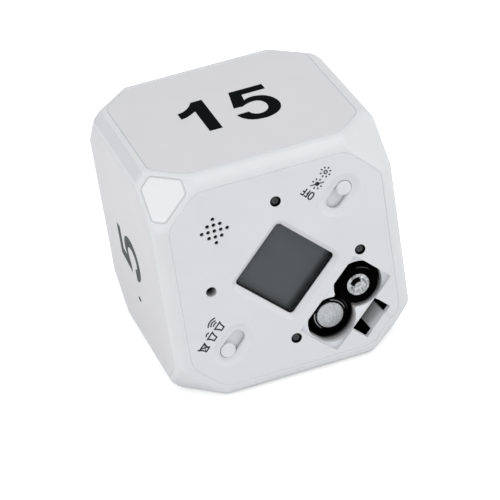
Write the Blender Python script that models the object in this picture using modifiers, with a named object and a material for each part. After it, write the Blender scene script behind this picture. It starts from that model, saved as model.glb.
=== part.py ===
"""Cube timer: a bevelled cube with a time on each number face and its controls on the front.

Metres, +Z up. The cube stands on its bottom plate at Z = 0 and is centred on the Z axis.
The control face looks along -Y. Each face has a frame of its own, whose local Z points out of
the cube, so a depth is measured inwards from the face. The control face also has a diagonal
frame, turned an eighth of a turn, for the slides and the battery bay.
"""

import itertools
import math

import bmesh
import bpy
from mathutils import Matrix, Vector

# Cube
CUBE_SIDE = 0.0635
EDGE_CHAMFER = 0.0025
CORNER_CUT = 0.0143
EDGE_ROUND = 0.0008
CORNER_WALL = 0.0018
GAP = 0.0003
OVERRUN = 0.001
LAP = 0.0005

# Number plates, inset from the edges and corners of the cube's faces
PLATE_MARGIN = 0.00415
PLATE_CORNER_MARGIN = 0.0012
PLATE_THICKNESS = 0.0010
PLATE_ROUND = 0.00015
SEAT_WALL = 0.0015

# Front cover
COVER_MARGIN = 0.0039
COVER_CORNER_MARGIN = 0.00113
COVER_THICKNESS = 0.0015
COVER_ROUND = 0.0002
LEDGE_WIDTH = 0.0015

# Screws that hold the cover, and the posts that they enter
SCREW_MARGIN = 0.0080
SCREW_HEAD_RADIUS = 0.00105
SCREW_HEAD_HEIGHT = 0.0014
SCREW_SHANK_RADIUS = 0.0007
SCREW_SHANK_LENGTH = 0.0090
SCREW_HEAD_DEPTH = 0.0005
DEEP_SCREW_DROP = 0.0027
SCREW_HOLE_CLEARANCE = 0.00035
BOSS_RADIUS = 0.0030
BOSS_DEPTH = 0.0070

# Display
WINDOW_HALF = 0.009475
WINDOW_ROUND = 0.0011
WINDOW_BEVEL_DEPTH = 0.0013
WINDOW_BEVEL_WIDTH = 0.0010
PANE_LAP = 0.0013
PANE_THICKNESS = 0.0005
SHADE_WALL = 0.0008
SHADE_ROUND = 0.0020
SHADE_MARGIN = 0.00015
SHADE_LEDGE = 0.0004
PANEL_LAP = 0.0011
PANEL_THICKNESS = 0.0018
STRIP_INSET = 0.0009
STRIP_WIDTH = 0.0016
STRIP_HEIGHT = 0.0040

# Main board, inset from the ledge that the cover rests on
BOARD_MARGIN = 0.0009
BOARD_CORNER_MARGIN = 0.0020
BOARD_THICKNESS = 0.0016
BOARD_SCREW_MARGIN = 0.00376
BOARD_SCREW_V = 0.0092
BOARD_SCREW_HEAD_RADIUS = 0.0018
BOARD_SCREW_HEAD_HEIGHT = 0.0012
BOARD_SCREW_SHANK_RADIUS = 0.0007
BOARD_SCREW_SHANK_LENGTH = 0.0050
STANDOFF_RADIUS = 0.0024

# Parts on the board
CONTROLLER_SIZE = 0.0070
CONTROLLER_HEIGHT = 0.0014
CONTROLLER_PLACE = (0.0000, 0.0040)
SENSOR_SIZE = 0.0030
SENSOR_HEIGHT = 0.0010
SENSOR_PLACE = (0.0000, -0.0060)
CRYSTAL_LENGTH = 0.0060
CRYSTAL_RADIUS = 0.0010
CRYSTAL_PLACE = (0.0090, 0.0060)
CAPACITOR_RADIUS = 0.0025
CAPACITOR_HEIGHT = 0.0055
CAPACITOR_PLACE = (-0.0150, 0.0000)
CAPACITOR_SPACING = 0.0075

# Sliding knobs and their switches
SLIDE_TRAVEL = 0.0041
KNOB_RADIUS = 0.00185
KNOB_TOP_DEPTH = 0.00015
KNOB_ROUND = 0.00025
SLOT_CLEARANCE = 0.00025
FLANGE_THICKNESS = 0.0008
SOCKET_WALL = 0.00075
LEVER_HALF = 0.00065
LEVER_BASE_LENGTH = 0.0038
LEVER_BASE_WIDTH = 0.0026
SWITCH_HEIGHT = 0.0034
SWITCH_WALL = 0.0007
GUIDE_THICKNESS = 0.0008
GUIDE_HALF_LENGTH = 0.0078

# Dish round each slot, as radius and depth from its rim to its floor
DISH_RADIUS = 0.0045
DISH_DEPTH = 0.00062
DISH_RING_SHARES = ((1.0, 0.0), (0.92, 0.1), (0.81, 0.45), (0.7, 0.8), (0.6, 1.0))

# Speaker
SPEAKER_MARGIN = 0.00056
SPEAKER_HOLE_PITCH = 0.00166
SPEAKER_HOLE_RADIUS = 0.00052
SPEAKER_HOLE_RINGS = 2
SPEAKER_RADIUS = 0.0075
SPEAKER_HEIGHT = 0.0030
SPEAKER_WALL = 0.0006
SPEAKER_RING_WALL = 0.0008
DIAPHRAGM_THICKNESS = 0.0003
DIAPHRAGM_DOME_RADIUS = 0.0026
DIAPHRAGM_DOME_RISE = 0.0004
MAGNET_RADIUS = 0.0036
MAGNET_HEIGHT = 0.0018
SPEAKER_WIRE_RADIUS = 0.0003
SPEAKER_WIRE_SPREAD = 0.0025
SPEAKER_WIRE_DROP = 0.0050

# Battery bay, whose outer corners lie inside the cover's edges
BAY_CORNER_WALL = 0.00084
BAY_END_MARGIN = 0.00122
BAY_FAR_MARGIN = 0.00025
BAY_NEAR_MARGIN = 0.00175
BAY_DEPTH = 0.0014
BAY_FLOOR = 0.0015
BAY_BACK_MARGIN = 0.0008
WELL_CLEARANCE = 0.00125
WELL_SPREAD = 0.00022
WELL_OFFSET = 0.0004
WELL_FLAT_MARGIN = 0.0001
NECK_WIDTH = 0.0014
NECK_HEIGHT = 0.0072

# Latch pocket beside the bay
POCKET_HALF = 0.00505
POCKET_STEP = 0.0007
STEP_HALF = 0.00495
POCKET_WIDTH = 0.0044
TONGUE_HALF = 0.0028
TONGUE_THICKNESS = 0.0011
TONGUE_TOP_DEPTH = 0.0004
TONGUE_LENGTH = 0.0064
TONGUE_TILT = math.radians(11.5)
RELIEF_HALF = 0.0030
RELIEF_DEPTH = 0.0003

# Cells
CELL_LENGTH = 0.0445
CELL_RADIUS = 0.00525
CELL_APART = 0.00056
CELL_NUB_RADIUS = 0.0019
CELL_NUB_HEIGHT = 0.0010
CELL_NUB_ROUND = 0.0003
SLEEVE_THICKNESS = 0.0003
SLEEVE_NOSE_OPENING = 0.0031
SLEEVE_TAIL_OPENING = 0.0038
CELL_END_RADIUS = 0.0035
CELL_END_THICKNESS = 0.0003
NOSE_UP_CELL_DEPTH = 0.00055
TAIL_UP_CELL_DEPTH = 0.0041

# Battery holder and contacts
HOLDER_BORE_CLEARANCE = 0.0004
HOLDER_WALL = 0.0012
HOLDER_FLOOR = 0.0015
PASSAGE_HEIGHT = 0.0050
COLLAR_WALL = 0.0008
COLLAR_FLOOR = 0.0010
CONTACT_RADIUS = 0.0044
CONTACT_THICKNESS = 0.0003
CONTACT_TAIL_RADIUS = 0.0008
CONTACT_TAIL_LENGTH = 0.0024
SPRING_WIRE_RADIUS = 0.00025
SPRING_TOP_RADIUS = 0.0024
SPRING_BASE_RADIUS = 0.0038
SPRING_TURNS = 3
SPRING_POINTS_PER_TURN = 16
BATTERY_WIRE_RADIUS = 0.0005
BATTERY_WIRE_BEND = 0.0020
BATTERY_WIRE_LANDING = 0.0032

# Signal lamp behind the corner lens
LENS_FACE_MARGIN = 0.00094
LENS_EDGE_MARGIN = 0.00221
LENS_THICKNESS = 0.0008
LENS_ROUND = 0.0002
LIGHT_HOLE_RADIUS = 0.0030
LAMP_DEPTH = 0.0034
LAMP_RADIUS = 0.0015
LAMP_LENGTH = 0.0053
LAMP_FOOT_RADIUS = 0.00175
LAMP_FOOT_HEIGHT = 0.0007
LEAD_RADIUS = 0.00025
LEAD_SPREAD = 0.00064
LEAD_BEND = 0.0015
LEAD_LANDING = 0.0020

# Counts, angles and the distance at which points of a turned shape are one
MERGE_DISTANCE = 0.00001
ROUND_SIDES = 24
SMALL_SIDES = 12
SMOOTH_ANGLE = math.radians(32)
BEVEL_ANGLE = math.radians(30)

# Places and sizes that follow from those above
HALF = CUBE_SIDE / 2
EDGE_SUM = 2 * HALF - EDGE_CHAMFER
FACE_SUM = 2 * HALF - CORNER_CUT
CORNER_SUM = FACE_SUM + HALF
SHELL = PLATE_THICKNESS + GAP + SEAT_WALL
PLATE_HALF = HALF - PLATE_MARGIN
PLATE_SUM = FACE_SUM - PLATE_CORNER_MARGIN * math.sqrt(2)
COVER_HALF = HALF - COVER_MARGIN
COVER_SUM = FACE_SUM - COVER_CORNER_MARGIN * math.sqrt(2)
LEDGE_HALF = COVER_HALF + GAP - LEDGE_WIDTH
LEDGE_SUM = COVER_SUM + (GAP - LEDGE_WIDTH) * math.sqrt(2)
LEDGE_CORNER_REACH = LEDGE_SUM / math.sqrt(2)
BEHIND_COVER = COVER_THICKNESS + GAP

PANE_HALF = WINDOW_HALF + PANE_LAP
SHADE_HALF = PANE_HALF + GAP + SHADE_WALL
SHADE_OPENING_HALF = WINDOW_HALF + SHADE_MARGIN
PANEL_HALF = WINDOW_HALF + PANEL_LAP
STRIP_LENGTH = 2 * (PANEL_HALF - STRIP_INSET)
STRIP_REACH = PANEL_HALF - STRIP_INSET - STRIP_WIDTH / 2
PANE_NEAR = BEHIND_COVER
SHADE_OPENING_NEAR = PANE_NEAR + PANE_THICKNESS + GAP
PANEL_NEAR = SHADE_OPENING_NEAR + SHADE_LEDGE + GAP
STRIP_NEAR = PANEL_NEAR + PANEL_THICKNESS + GAP
BOARD_NEAR = STRIP_NEAR + STRIP_HEIGHT + GAP
BOARD_FAR = BOARD_NEAR + BOARD_THICKNESS
ON_BOARD = BOARD_FAR + GAP
UNDER_BOARD = BOARD_NEAR - GAP

SCREW_REACH = COVER_HALF - SCREW_MARGIN
SCREW_HOLE_RADIUS = SCREW_HEAD_RADIUS + SCREW_HOLE_CLEARANCE
PILOT_DEPTH = SCREW_HEAD_DEPTH + DEEP_SCREW_DROP + SCREW_HEAD_HEIGHT + SCREW_SHANK_LENGTH + OVERRUN

SLOT_RADIUS = KNOB_RADIUS + SLOT_CLEARANCE
FLANGE_HALF_LENGTH = SLIDE_TRAVEL + SLOT_RADIUS + LAP
FLANGE_HALF_WIDTH = SLOT_RADIUS + LAP
SLIDE_REACH = LEDGE_CORNER_REACH - GAP - FLANGE_HALF_LENGTH - SLIDE_TRAVEL / 2
FLANGE_FAR = BEHIND_COVER + FLANGE_THICKNESS
LEVER_NEAR = FLANGE_FAR + 2 * GAP
GUIDE_FAR = FLANGE_FAR + 2 * GAP
SWITCH_NEAR = UNDER_BOARD - SWITCH_HEIGHT
SWITCH_INSIDE_NEAR = SWITCH_NEAR + SWITCH_WALL
SWITCH_INSIDE_FAR = UNDER_BOARD - SWITCH_WALL
SWITCH_HALF_LENGTH = SLIDE_TRAVEL / 2 + LEVER_BASE_LENGTH / 2 + 2 * GAP + SWITCH_WALL
SWITCH_HALF_WIDTH = LEVER_BASE_WIDTH / 2 + GAP + SWITCH_WALL
SOCKET_HALF = LEVER_HALF + GAP + SOCKET_WALL
SOCKET_FAR = SWITCH_NEAR - 2 * GAP

SPEAKER_RING_RADIUS = SPEAKER_RADIUS + GAP + SPEAKER_RING_WALL
SPEAKER_REACH = LEDGE_CORNER_REACH - SPEAKER_MARGIN - SPEAKER_RING_RADIUS
SPEAKER_FAR = BEHIND_COVER + SPEAKER_HEIGHT
SPEAKER_RING_FAR = SPEAKER_FAR - 2 * GAP
DIAPHRAGM_RADIUS = SPEAKER_RADIUS - SPEAKER_WALL - GAP

CELL_SPACING = 2 * CELL_RADIUS + CELL_APART
BAY_LENGTH = CELL_SPACING + 2 * CELL_RADIUS + 2 * BAY_END_MARGIN
BAY_FAR_REACH = (COVER_HALF - BAY_CORNER_WALL) * math.sqrt(2) - BAY_LENGTH / 2
CELL_REACH = BAY_FAR_REACH - BAY_FAR_MARGIN - CELL_RADIUS
BAY_NEAR_REACH = CELL_REACH - CELL_RADIUS - BAY_NEAR_MARGIN
BAY_REACH = (BAY_FAR_REACH + BAY_NEAR_REACH) / 2
BAY_WIDTH = BAY_FAR_REACH - BAY_NEAR_REACH
WELL_RADIUS = CELL_RADIUS + WELL_CLEARANCE
WELL_SPACING = CELL_SPACING + 2 * WELL_SPREAD
WELL_REACH = CELL_REACH - WELL_OFFSET
POCKET_NEAR_REACH = BAY_FAR_REACH + POCKET_STEP
POCKET_FAR_REACH = POCKET_NEAR_REACH + POCKET_WIDTH
HOLDER_NEAR = BAY_DEPTH + BAY_FLOOR + GAP
CONTACT_NEAR = TAIL_UP_CELL_DEPTH + CELL_LENGTH + GAP
HOLDER_FLOOR_NEAR = CONTACT_NEAR + CONTACT_THICKNESS + GAP
HOLDER_FAR = HOLDER_FLOOR_NEAR + HOLDER_FLOOR
CONTACT_TAIL_END = CONTACT_NEAR + CONTACT_THICKNESS + CONTACT_TAIL_LENGTH
BORE_RADIUS = CELL_RADIUS + HOLDER_BORE_CLEARANCE
HOLDER_RADIUS = BORE_RADIUS + HOLDER_WALL

# The lamp's axis runs inwards from the lens by these shares of its length, along the face and in depth.
ACROSS_SHARE = math.sqrt(2 / 3)
DEPTH_SHARE = math.sqrt(1 / 3)
LENS_REACH = CORNER_SUM / 3 * math.sqrt(2)
LENS_DEPTH = HALF - CORNER_SUM / 3
LENS_LONG_REACH = LENS_DEPTH * math.sqrt(3 / 2) - LENS_FACE_MARGIN
LENS_SHORT_REACH = (EDGE_SUM - CORNER_SUM * 2 / 3) * math.sqrt(3 / 2) - LENS_EDGE_MARGIN
LAMP_BASE_RUN = LAMP_DEPTH + LAMP_LENGTH
LEAD_START_RUN = LAMP_BASE_RUN + GAP
LEAD_CORNER_RUN = LEAD_START_RUN + 2 * LEAD_BEND
LEAD_CORNER_REACH = LENS_REACH - ACROSS_SHARE * LEAD_CORNER_RUN

BOARD_HALF = LEDGE_HALF - BOARD_MARGIN
BOARD_SUM = LEDGE_SUM - BOARD_CORNER_MARGIN * math.sqrt(2)
BOARD_SCREW_U = (BOARD_HALF - BOARD_SCREW_MARGIN) * math.sqrt(2) - BOARD_SCREW_V
BOARD_BAY_EDGE = CELL_REACH - HOLDER_RADIUS - 2 * GAP
BOARD_LAMP_EDGE = LEAD_CORNER_REACH - 3 * GAP
CELL_SIDES = (1, -1)
SCREW_PLACES = ((SCREW_REACH, 0), (0, SCREW_REACH), (0, -SCREW_REACH), (-SCREW_REACH, 0))
SCREW_DROPS = (0, 0, 0, DEEP_SCREW_DROP)
BOARD_SCREW_PLACES = (
    (BOARD_SCREW_U, -BOARD_SCREW_V),
    (BOARD_SCREW_U, BOARD_SCREW_V),
    (-BOARD_SCREW_U, -BOARD_SCREW_V),
    (-BOARD_SCREW_U, BOARD_SCREW_V),
)


# Scene

for leftover in list(bpy.data.objects):
    bpy.data.objects.remove(leftover)

timer_collection = bpy.data.collections.new("cube_timer")
cutter_collection = bpy.data.collections.new("cutters")
bpy.context.scene.collection.children.link(timer_collection)
bpy.context.scene.collection.children.link(cutter_collection)


# Materials

def material(name, colour, roughness, metallic=0.0, alpha=1.0):
    made = bpy.data.materials.new(name)
    made.use_nodes = True
    shader = made.node_tree.nodes["Principled BSDF"]
    shader.inputs["Base Color"].default_value = (*colour, 1.0)
    shader.inputs["Roughness"].default_value = roughness
    shader.inputs["Metallic"].default_value = metallic
    shader.inputs["Alpha"].default_value = alpha
    return made


housing_white = material("housing_white", (0.70, 0.71, 0.73), 0.45)
cover_white = material("cover_white", (0.71, 0.72, 0.74), 0.45)
plate_white = material("plate_white", (0.68, 0.68, 0.70), 0.40)
lens_white = material("lens_white", (0.85, 0.86, 0.87), 0.30)
clear_plastic = material("clear_plastic", (0.80, 0.82, 0.83), 0.10, alpha=0.3)
shade_black = material("shade_black", (0.01, 0.01, 0.01), 0.60)
panel_grey = material("panel_grey", (0.09, 0.105, 0.107), 0.25)
rubber_grey = material("rubber_grey", (0.25, 0.25, 0.26), 0.70)
board_green = material("board_green", (0.02, 0.14, 0.05), 0.45)
chip_black = material("chip_black", (0.015, 0.015, 0.016), 0.50)
crystal_metal = material("crystal_metal", (0.70, 0.70, 0.72), 0.25, 1.0)
capacitor_blue = material("capacitor_blue", (0.03, 0.04, 0.12), 0.40)
screw_black = material("screw_black", (0.03, 0.03, 0.03), 0.40, 0.8)
screw_zinc = material("screw_zinc", (0.60, 0.60, 0.62), 0.35, 1.0)
switch_metal = material("switch_metal", (0.65, 0.66, 0.68), 0.30, 1.0)
lever_black = material("lever_black", (0.02, 0.02, 0.02), 0.50)
speaker_black = material("speaker_black", (0.02, 0.02, 0.02), 0.55)
diaphragm_film = material("diaphragm_film", (0.30, 0.28, 0.24), 0.35)
magnet_metal = material("magnet_metal", (0.55, 0.55, 0.57), 0.35, 1.0)
cell_steel = material("cell_steel", (0.62, 0.63, 0.64), 0.28, 1.0)
sleeve_black = material("sleeve_black", (0.008, 0.008, 0.009), 0.35)
contact_metal = material("contact_metal", (0.75, 0.74, 0.70), 0.30, 1.0)
wire_red = material("wire_red", (0.55, 0.02, 0.02), 0.45)
wire_black = material("wire_black", (0.02, 0.02, 0.02), 0.45)
lamp_clear = material("lamp_clear", (0.85, 0.30, 0.28), 0.15)


# Frames

def frame(name, parent=None, location=(0, 0, 0), rotation=(0, 0, 0)):
    empty = bpy.data.objects.new(name, None)
    timer_collection.objects.link(empty)
    empty.parent = parent
    empty.location = location
    empty.rotation_euler = rotation
    return empty


QUARTER = math.pi / 2
cube_centre = frame("cube_centre", location=(0, 0, HALF))
front_face = frame("front_face", cube_centre, (0, -HALF, 0), (QUARTER, 0, 0))
rear_face = frame("rear_face", cube_centre, (0, HALF, 0), (-QUARTER, 0, 0))
left_face = frame("left_face", cube_centre, (-HALF, 0, 0), (0, -QUARTER, 0))
right_face = frame("right_face", cube_centre, (HALF, 0, 0), (0, QUARTER, 0))
top_face = frame("top_face", cube_centre, (0, 0, HALF))
bottom_face = frame("bottom_face", cube_centre, (0, 0, -HALF), (math.pi, 0, 0))
front_diagonal = frame("front_diagonal", front_face, rotation=(0, 0, QUARTER / 2))
light_slide = frame("light_slide", front_diagonal, (SLIDE_REACH, 0, 0))
volume_slide = frame("volume_slide", front_diagonal, (-SLIDE_REACH, 0, 0))


def corner_rotation(outward, upward):
    """Rotation whose Z leaves the corner along outward and whose X leans towards upward."""
    out = Vector(outward).normalized()
    lean = Vector(upward) - out * out.dot(Vector(upward))
    lean.normalize()
    across = out.cross(lean)
    return Matrix((lean, across, out)).transposed().to_euler()


LENS_CORNER = Vector((-1, -1, 1))
lens_corner = frame(
    "lens_corner", cube_centre, LENS_CORNER * (CORNER_SUM / 3), corner_rotation(LENS_CORNER, (0, 0, 1))
)


# Shape helpers. Depths run inwards from a frame's face, so they are minus its local Z.

def block(bm, low, high, near, far):
    """A box from low to high across the face, between two depths."""
    size = Vector((high[0] - low[0], high[1] - low[1], far - near))
    centre = Vector(((high[0] + low[0]) / 2, (high[1] + low[1]) / 2, -(near + far) / 2))
    bmesh.ops.create_cube(bm, size=1, matrix=Matrix.Translation(centre) @ Matrix.Diagonal((*size, 1)))


def centred_block(bm, half_x, half_y, near, far, place=(0, 0)):
    low = (place[0] - half_x, place[1] - half_y)
    high = (place[0] + half_x, place[1] + half_y)
    block(bm, low, high, near, far)


def rod(bm, radius, near, far, place=(0, 0), sides=ROUND_SIDES):
    """A round bar square to the face, between two depths."""
    centre = Vector((place[0], place[1], -(near + far) / 2))
    bmesh.ops.create_cone(
        bm, cap_ends=True, segments=sides, radius1=radius, radius2=radius, depth=far - near,
        matrix=Matrix.Translation(centre) @ Matrix.Rotation(math.pi / sides, 4, "Z"),
    )


def pull_face(bm, face):
    """Extrude a face where it stands. Gives the new face and its corners, to be moved."""
    grown = bmesh.ops.extrude_face_region(bm, geom=[face, *face.edges])["geom"]
    corners = [item for item in grown if isinstance(item, bmesh.types.BMVert)]
    end_face = next(item for item in grown if isinstance(item, bmesh.types.BMFace))
    return end_face, corners


def stack(bm, rings, place=(0, 0), sides=ROUND_SIDES):
    """A round solid through rings of (radius, depth), made by extruding and scaling its end."""
    first_radius, first_depth = rings[0]
    start = Matrix.Translation((place[0], place[1], -first_depth))
    turn = Matrix.Rotation(math.pi / sides, 4, "Z")
    made = bmesh.ops.create_circle(
        bm, cap_ends=True, radius=first_radius, segments=sides, matrix=start @ turn
    )
    end_face = made["verts"][0].link_faces[0]
    for (old_radius, old_depth), (radius, depth) in zip(rings, rings[1:]):
        end_face, corners = pull_face(bm, end_face)
        share = radius / old_radius
        to_axis = Matrix.Translation((-place[0], -place[1], 0))
        bmesh.ops.scale(bm, vec=(share, share, 1), space=to_axis, verts=corners)
        bmesh.ops.translate(bm, vec=(0, 0, old_depth - depth), verts=corners)


def part_lengthways(bm, run):
    """Split a round shape at its middle and draw its halves apart along X."""
    for corner in bm.verts:
        corner.co.x += math.copysign(run / 2, corner.co.x)


def slice_off(bm, point, normal):
    """Cut away all that lies beyond a plane and close the cut."""
    everything = bm.verts[:] + bm.edges[:] + bm.faces[:]
    cut = bmesh.ops.bisect_plane(
        bm, geom=everything, plane_co=point, plane_no=normal, clear_outer=True
    )
    rim = [item for item in cut["geom_cut"] if isinstance(item, bmesh.types.BMEdge)]
    if rim:
        bmesh.ops.edgeloop_fill(bm, edges=rim)


def octagon(bm, half, corner_sum, near, far):
    """A square plate with its corners cut where |x| + |y| reaches corner_sum."""
    centred_block(bm, half, half, near, far)
    for signs in itertools.product((-1, 1), repeat=2):
        normal = Vector((*signs, 0))
        slice_off(bm, normal * (corner_sum / 2), normal)


def hexagon(bm, long_reach, short_reach, near, far):
    """A six-sided plate whose sides lie in turn at long_reach and short_reach."""
    centred_block(bm, 2 * short_reach, 2 * short_reach, near, far)
    for index in range(6):
        angle = index * math.pi / 3
        normal = Vector((math.cos(angle), math.sin(angle), 0))
        slice_off(bm, normal * (short_reach if index % 2 else long_reach), normal)


def faceted_cube(bm, half, corner_sum, edge_sum=None):
    """A cube with its corners, and if asked its edges, cut off flat."""
    bmesh.ops.create_cube(bm, size=2 * half)
    if edge_sum is not None:
        for first, second in itertools.combinations(range(3), 2):
            for signs in itertools.product((-1, 1), repeat=2):
                normal = Vector((0, 0, 0))
                normal[first], normal[second] = signs
                slice_off(bm, normal * (edge_sum / 2), normal)
    for signs in itertools.product((-1, 1), repeat=3):
        normal = Vector(signs)
        slice_off(bm, normal * (corner_sum / 3), normal)


def rounded_block(bm, half, radius, near, far, place=(0, 0)):
    """A square bar square to the face, with its four long edges rounded."""
    centred_block(bm, half, half, near, far, place)
    upright = [edge for edge in bm.edges if edge.verts[0].co.xy == edge.verts[1].co.xy]
    bmesh.ops.bevel(
        bm, geom=upright, offset=radius, offset_type="OFFSET", segments=4, profile=0.5, affect="EDGES"
    )


def bay_back(bm, clearance, near, far):
    """The block behind the battery bay, kept inside the cover's edges at its two outer corners."""
    around = BAY_BACK_MARGIN + clearance
    centred_block(bm, BAY_LENGTH / 2 + around, BAY_WIDTH / 2 + around, near, far, (0, -BAY_REACH))
    for side in (-1, 1):
        outward = Vector((side, -1, 0)).normalized()
        slice_off(bm, outward * (COVER_HALF - GAP + clearance), outward)


def well(bm, side, margin, near, far):
    """One lobe of the battery wells, grown by margin: a round pit with three flats."""
    rod(bm, WELL_RADIUS + margin, near, far, (side * WELL_SPACING / 2, -WELL_REACH), 2 * ROUND_SIDES)
    edge = BAY_LENGTH / 2 - WELL_FLAT_MARGIN + margin
    slice_off(bm, Vector((side * edge, 0, 0)), Vector((side, 0, 0)))
    for flank in (-1, 1):
        edge = -BAY_REACH + flank * (BAY_WIDTH / 2 - WELL_FLAT_MARGIN + margin)
        slice_off(bm, Vector((0, edge, 0)), Vector((0, flank, 0)))


def finish_mesh(name, bm):
    bmesh.ops.recalc_face_normals(bm, faces=bm.faces)
    mesh = bpy.data.meshes.new(name)
    bm.to_mesh(mesh)
    bm.free()
    return mesh


def piece(name, bm, parent, finish, location=(0, 0, 0)):
    """A named piece of the timer from a finished bmesh."""
    mesh = finish_mesh(name, bm)
    mesh.materials.append(finish)
    mesh.shade_smooth()
    mesh.set_sharp_from_angle(angle=SMOOTH_ANGLE)
    made = bpy.data.objects.new(name, mesh)
    timer_collection.objects.link(made)
    made.parent = parent
    made.location = location
    return made


def pieces(names, bm, parent, finish, places):
    """Copies of one piece, each its own object on the same mesh, at (x, y, depth) places."""
    first = piece(names[0], bm, parent, finish)
    copies = [first]
    for name in names[1:]:
        copy = bpy.data.objects.new(name, first.data)
        timer_collection.objects.link(copy)
        copy.parent = parent
        copies.append(copy)
    for copy, (x, y, depth) in zip(copies, places):
        copy.location = (x, y, -depth)


def tool(name, bm, parent, location=(0, 0, 0), rotation=(0, 0, 0)):
    """A shape that only cuts or joins others."""
    made = bpy.data.objects.new(name, finish_mesh(name, bm))
    cutter_collection.objects.link(made)
    made.parent = parent
    made.location = location
    made.rotation_euler = rotation
    made.hide_render = True
    made.display_type = "WIRE"
    return made


def combine(target, other, operation):
    modifier = target.modifiers.new(other.name, "BOOLEAN")
    modifier.operation = operation
    modifier.solver = "EXACT"
    modifier.object = other


def cut(target, other):
    combine(target, other, "DIFFERENCE")


def join(target, other):
    combine(target, other, "UNION")


def round_edges(target, width, segments=2):
    modifier = target.modifiers.new("rounded_edges", "BEVEL")
    modifier.width = width
    modifier.segments = segments
    modifier.limit_method = "ANGLE"
    modifier.angle_limit = BEVEL_ANGLE


def turned(name, profile, parent, finish, location=(0, 0, 0), rotation=(0, 0, 0), closed=False):
    """A turned piece. The profile is (radius, depth) pairs, down its outer side."""
    mesh = bpy.data.meshes.new(name)
    points = [(radius, 0, -depth) for radius, depth in profile]
    links = [(index, index + 1) for index in range(len(points) - 1)]
    if closed:
        links.append((len(points) - 1, 0))
    mesh.from_pydata(points, links, [])
    mesh.materials.append(finish)
    made = bpy.data.objects.new(name, mesh)
    timer_collection.objects.link(made)
    made.parent = parent
    made.location = location
    made.rotation_euler = rotation
    screw = made.modifiers.new("turn", "SCREW")
    screw.axis = "Z"
    screw.steps = ROUND_SIDES
    screw.render_steps = ROUND_SIDES
    screw.use_merge_vertices = True
    screw.merge_threshold = MERGE_DISTANCE
    screw.use_smooth_shade = True
    return made


def wire(name, route, radius, parent, finish):
    """A round wire along (x, y, depth) points."""
    curve = bpy.data.curves.new(name, "CURVE")
    curve.dimensions = "3D"
    curve.bevel_depth = radius
    curve.bevel_resolution = 2
    curve.use_fill_caps = True
    spline = curve.splines.new("POLY")
    spline.points.add(len(route) - 1)
    for point, (x, y, depth) in zip(spline.points, route):
        point.co = (x, y, -depth, 1)
    curve.materials.append(finish)
    made = bpy.data.objects.new(name, curve)
    timer_collection.objects.link(made)
    made.parent = parent
    return made


def bent(start, corner, end, bend, steps=4):
    """Points that round a corner between two straight runs, from the first run to the second."""
    corner = Vector(corner)
    before = (Vector(start) - corner).normalized() * bend
    after = (Vector(end) - corner).normalized() * bend
    points = []
    for index in range(steps + 1):
        share = index / steps
        points.append(tuple(corner + before * (1 - share) ** 2 + after * share ** 2))
    return points


def routed(corners, bend):
    """A wire route through corners, each of them rounded."""
    route = [corners[0]]
    for before, corner, after in zip(corners, corners[1:], corners[2:]):
        route += bent(before, corner, after, bend)
    route.append(corners[-1])
    return route


# Housing: a shell open at the front, with a seat for each plate and a post for each screw

def build_housing():
    bm = bmesh.new()
    faceted_cube(bm, HALF, CORNER_SUM, EDGE_SUM)
    housing = piece("housing", bm, cube_centre, housing_white)
    round_edges(housing, EDGE_ROUND, segments=3)

    bm = bmesh.new()
    faceted_cube(bm, HALF - SHELL, CORNER_SUM - CORNER_WALL * math.sqrt(3))
    cut(housing, tool("housing_cavity", bm, cube_centre))

    post_far = CUBE_SIDE - SHELL + LAP
    bm = bmesh.new()
    for place in SCREW_PLACES:
        rod(bm, BOSS_RADIUS, BOSS_DEPTH + GAP, post_far, place, SMALL_SIDES)
    join(housing, tool("housing_posts", bm, front_face))

    bm = bmesh.new()
    octagon(bm, COVER_HALF + GAP, COVER_SUM + GAP * math.sqrt(2), -OVERRUN, BEHIND_COVER)
    cut(housing, tool("cover_opening", bm, front_face))
    bm = bmesh.new()
    octagon(bm, LEDGE_HALF, LEDGE_SUM, 0, SHELL + OVERRUN)
    cut(housing, tool("ledge_opening", bm, front_face))
    bm = bmesh.new()
    bay_back(bm, GAP, BEHIND_COVER - LAP, SHELL + OVERRUN)
    cut(housing, tool("ledge_bay_notch", bm, front_diagonal))

    for face in (rear_face, left_face, right_face, top_face, bottom_face):
        bm = bmesh.new()
        octagon(
            bm, PLATE_HALF + GAP, PLATE_SUM + GAP * math.sqrt(2), -OVERRUN, PLATE_THICKNESS + GAP
        )
        cut(housing, tool(f"{face.name}_seat", bm, face))

    bm = bmesh.new()
    for place in SCREW_PLACES:
        rod(bm, SCREW_SHANK_RADIUS + GAP, BOSS_DEPTH, PILOT_DEPTH, place, SMALL_SIDES)
    cut(housing, tool("pilot_holes", bm, front_face))

    bm = bmesh.new()
    hexagon(bm, LENS_LONG_REACH + GAP, LENS_SHORT_REACH + GAP, -OVERRUN, LENS_THICKNESS + GAP)
    cut(housing, tool("lens_seat", bm, lens_corner))
    bm = bmesh.new()
    rod(bm, LIGHT_HOLE_RADIUS, 0, CORNER_WALL + OVERRUN)
    cut(housing, tool("light_hole", bm, lens_corner))


# Plates let into the faces

def build_plates():
    plates = (
        ("top_number_plate", top_face),
        ("bottom_number_plate", bottom_face),
        ("left_number_plate", left_face),
        ("right_number_plate", right_face),
        ("rear_plate", rear_face),
    )
    for name, face in plates:
        bm = bmesh.new()
        octagon(bm, PLATE_HALF, PLATE_SUM, 0, PLATE_THICKNESS)
        round_edges(piece(name, bm, face, plate_white), PLATE_ROUND, segments=1)


# Front cover

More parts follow.
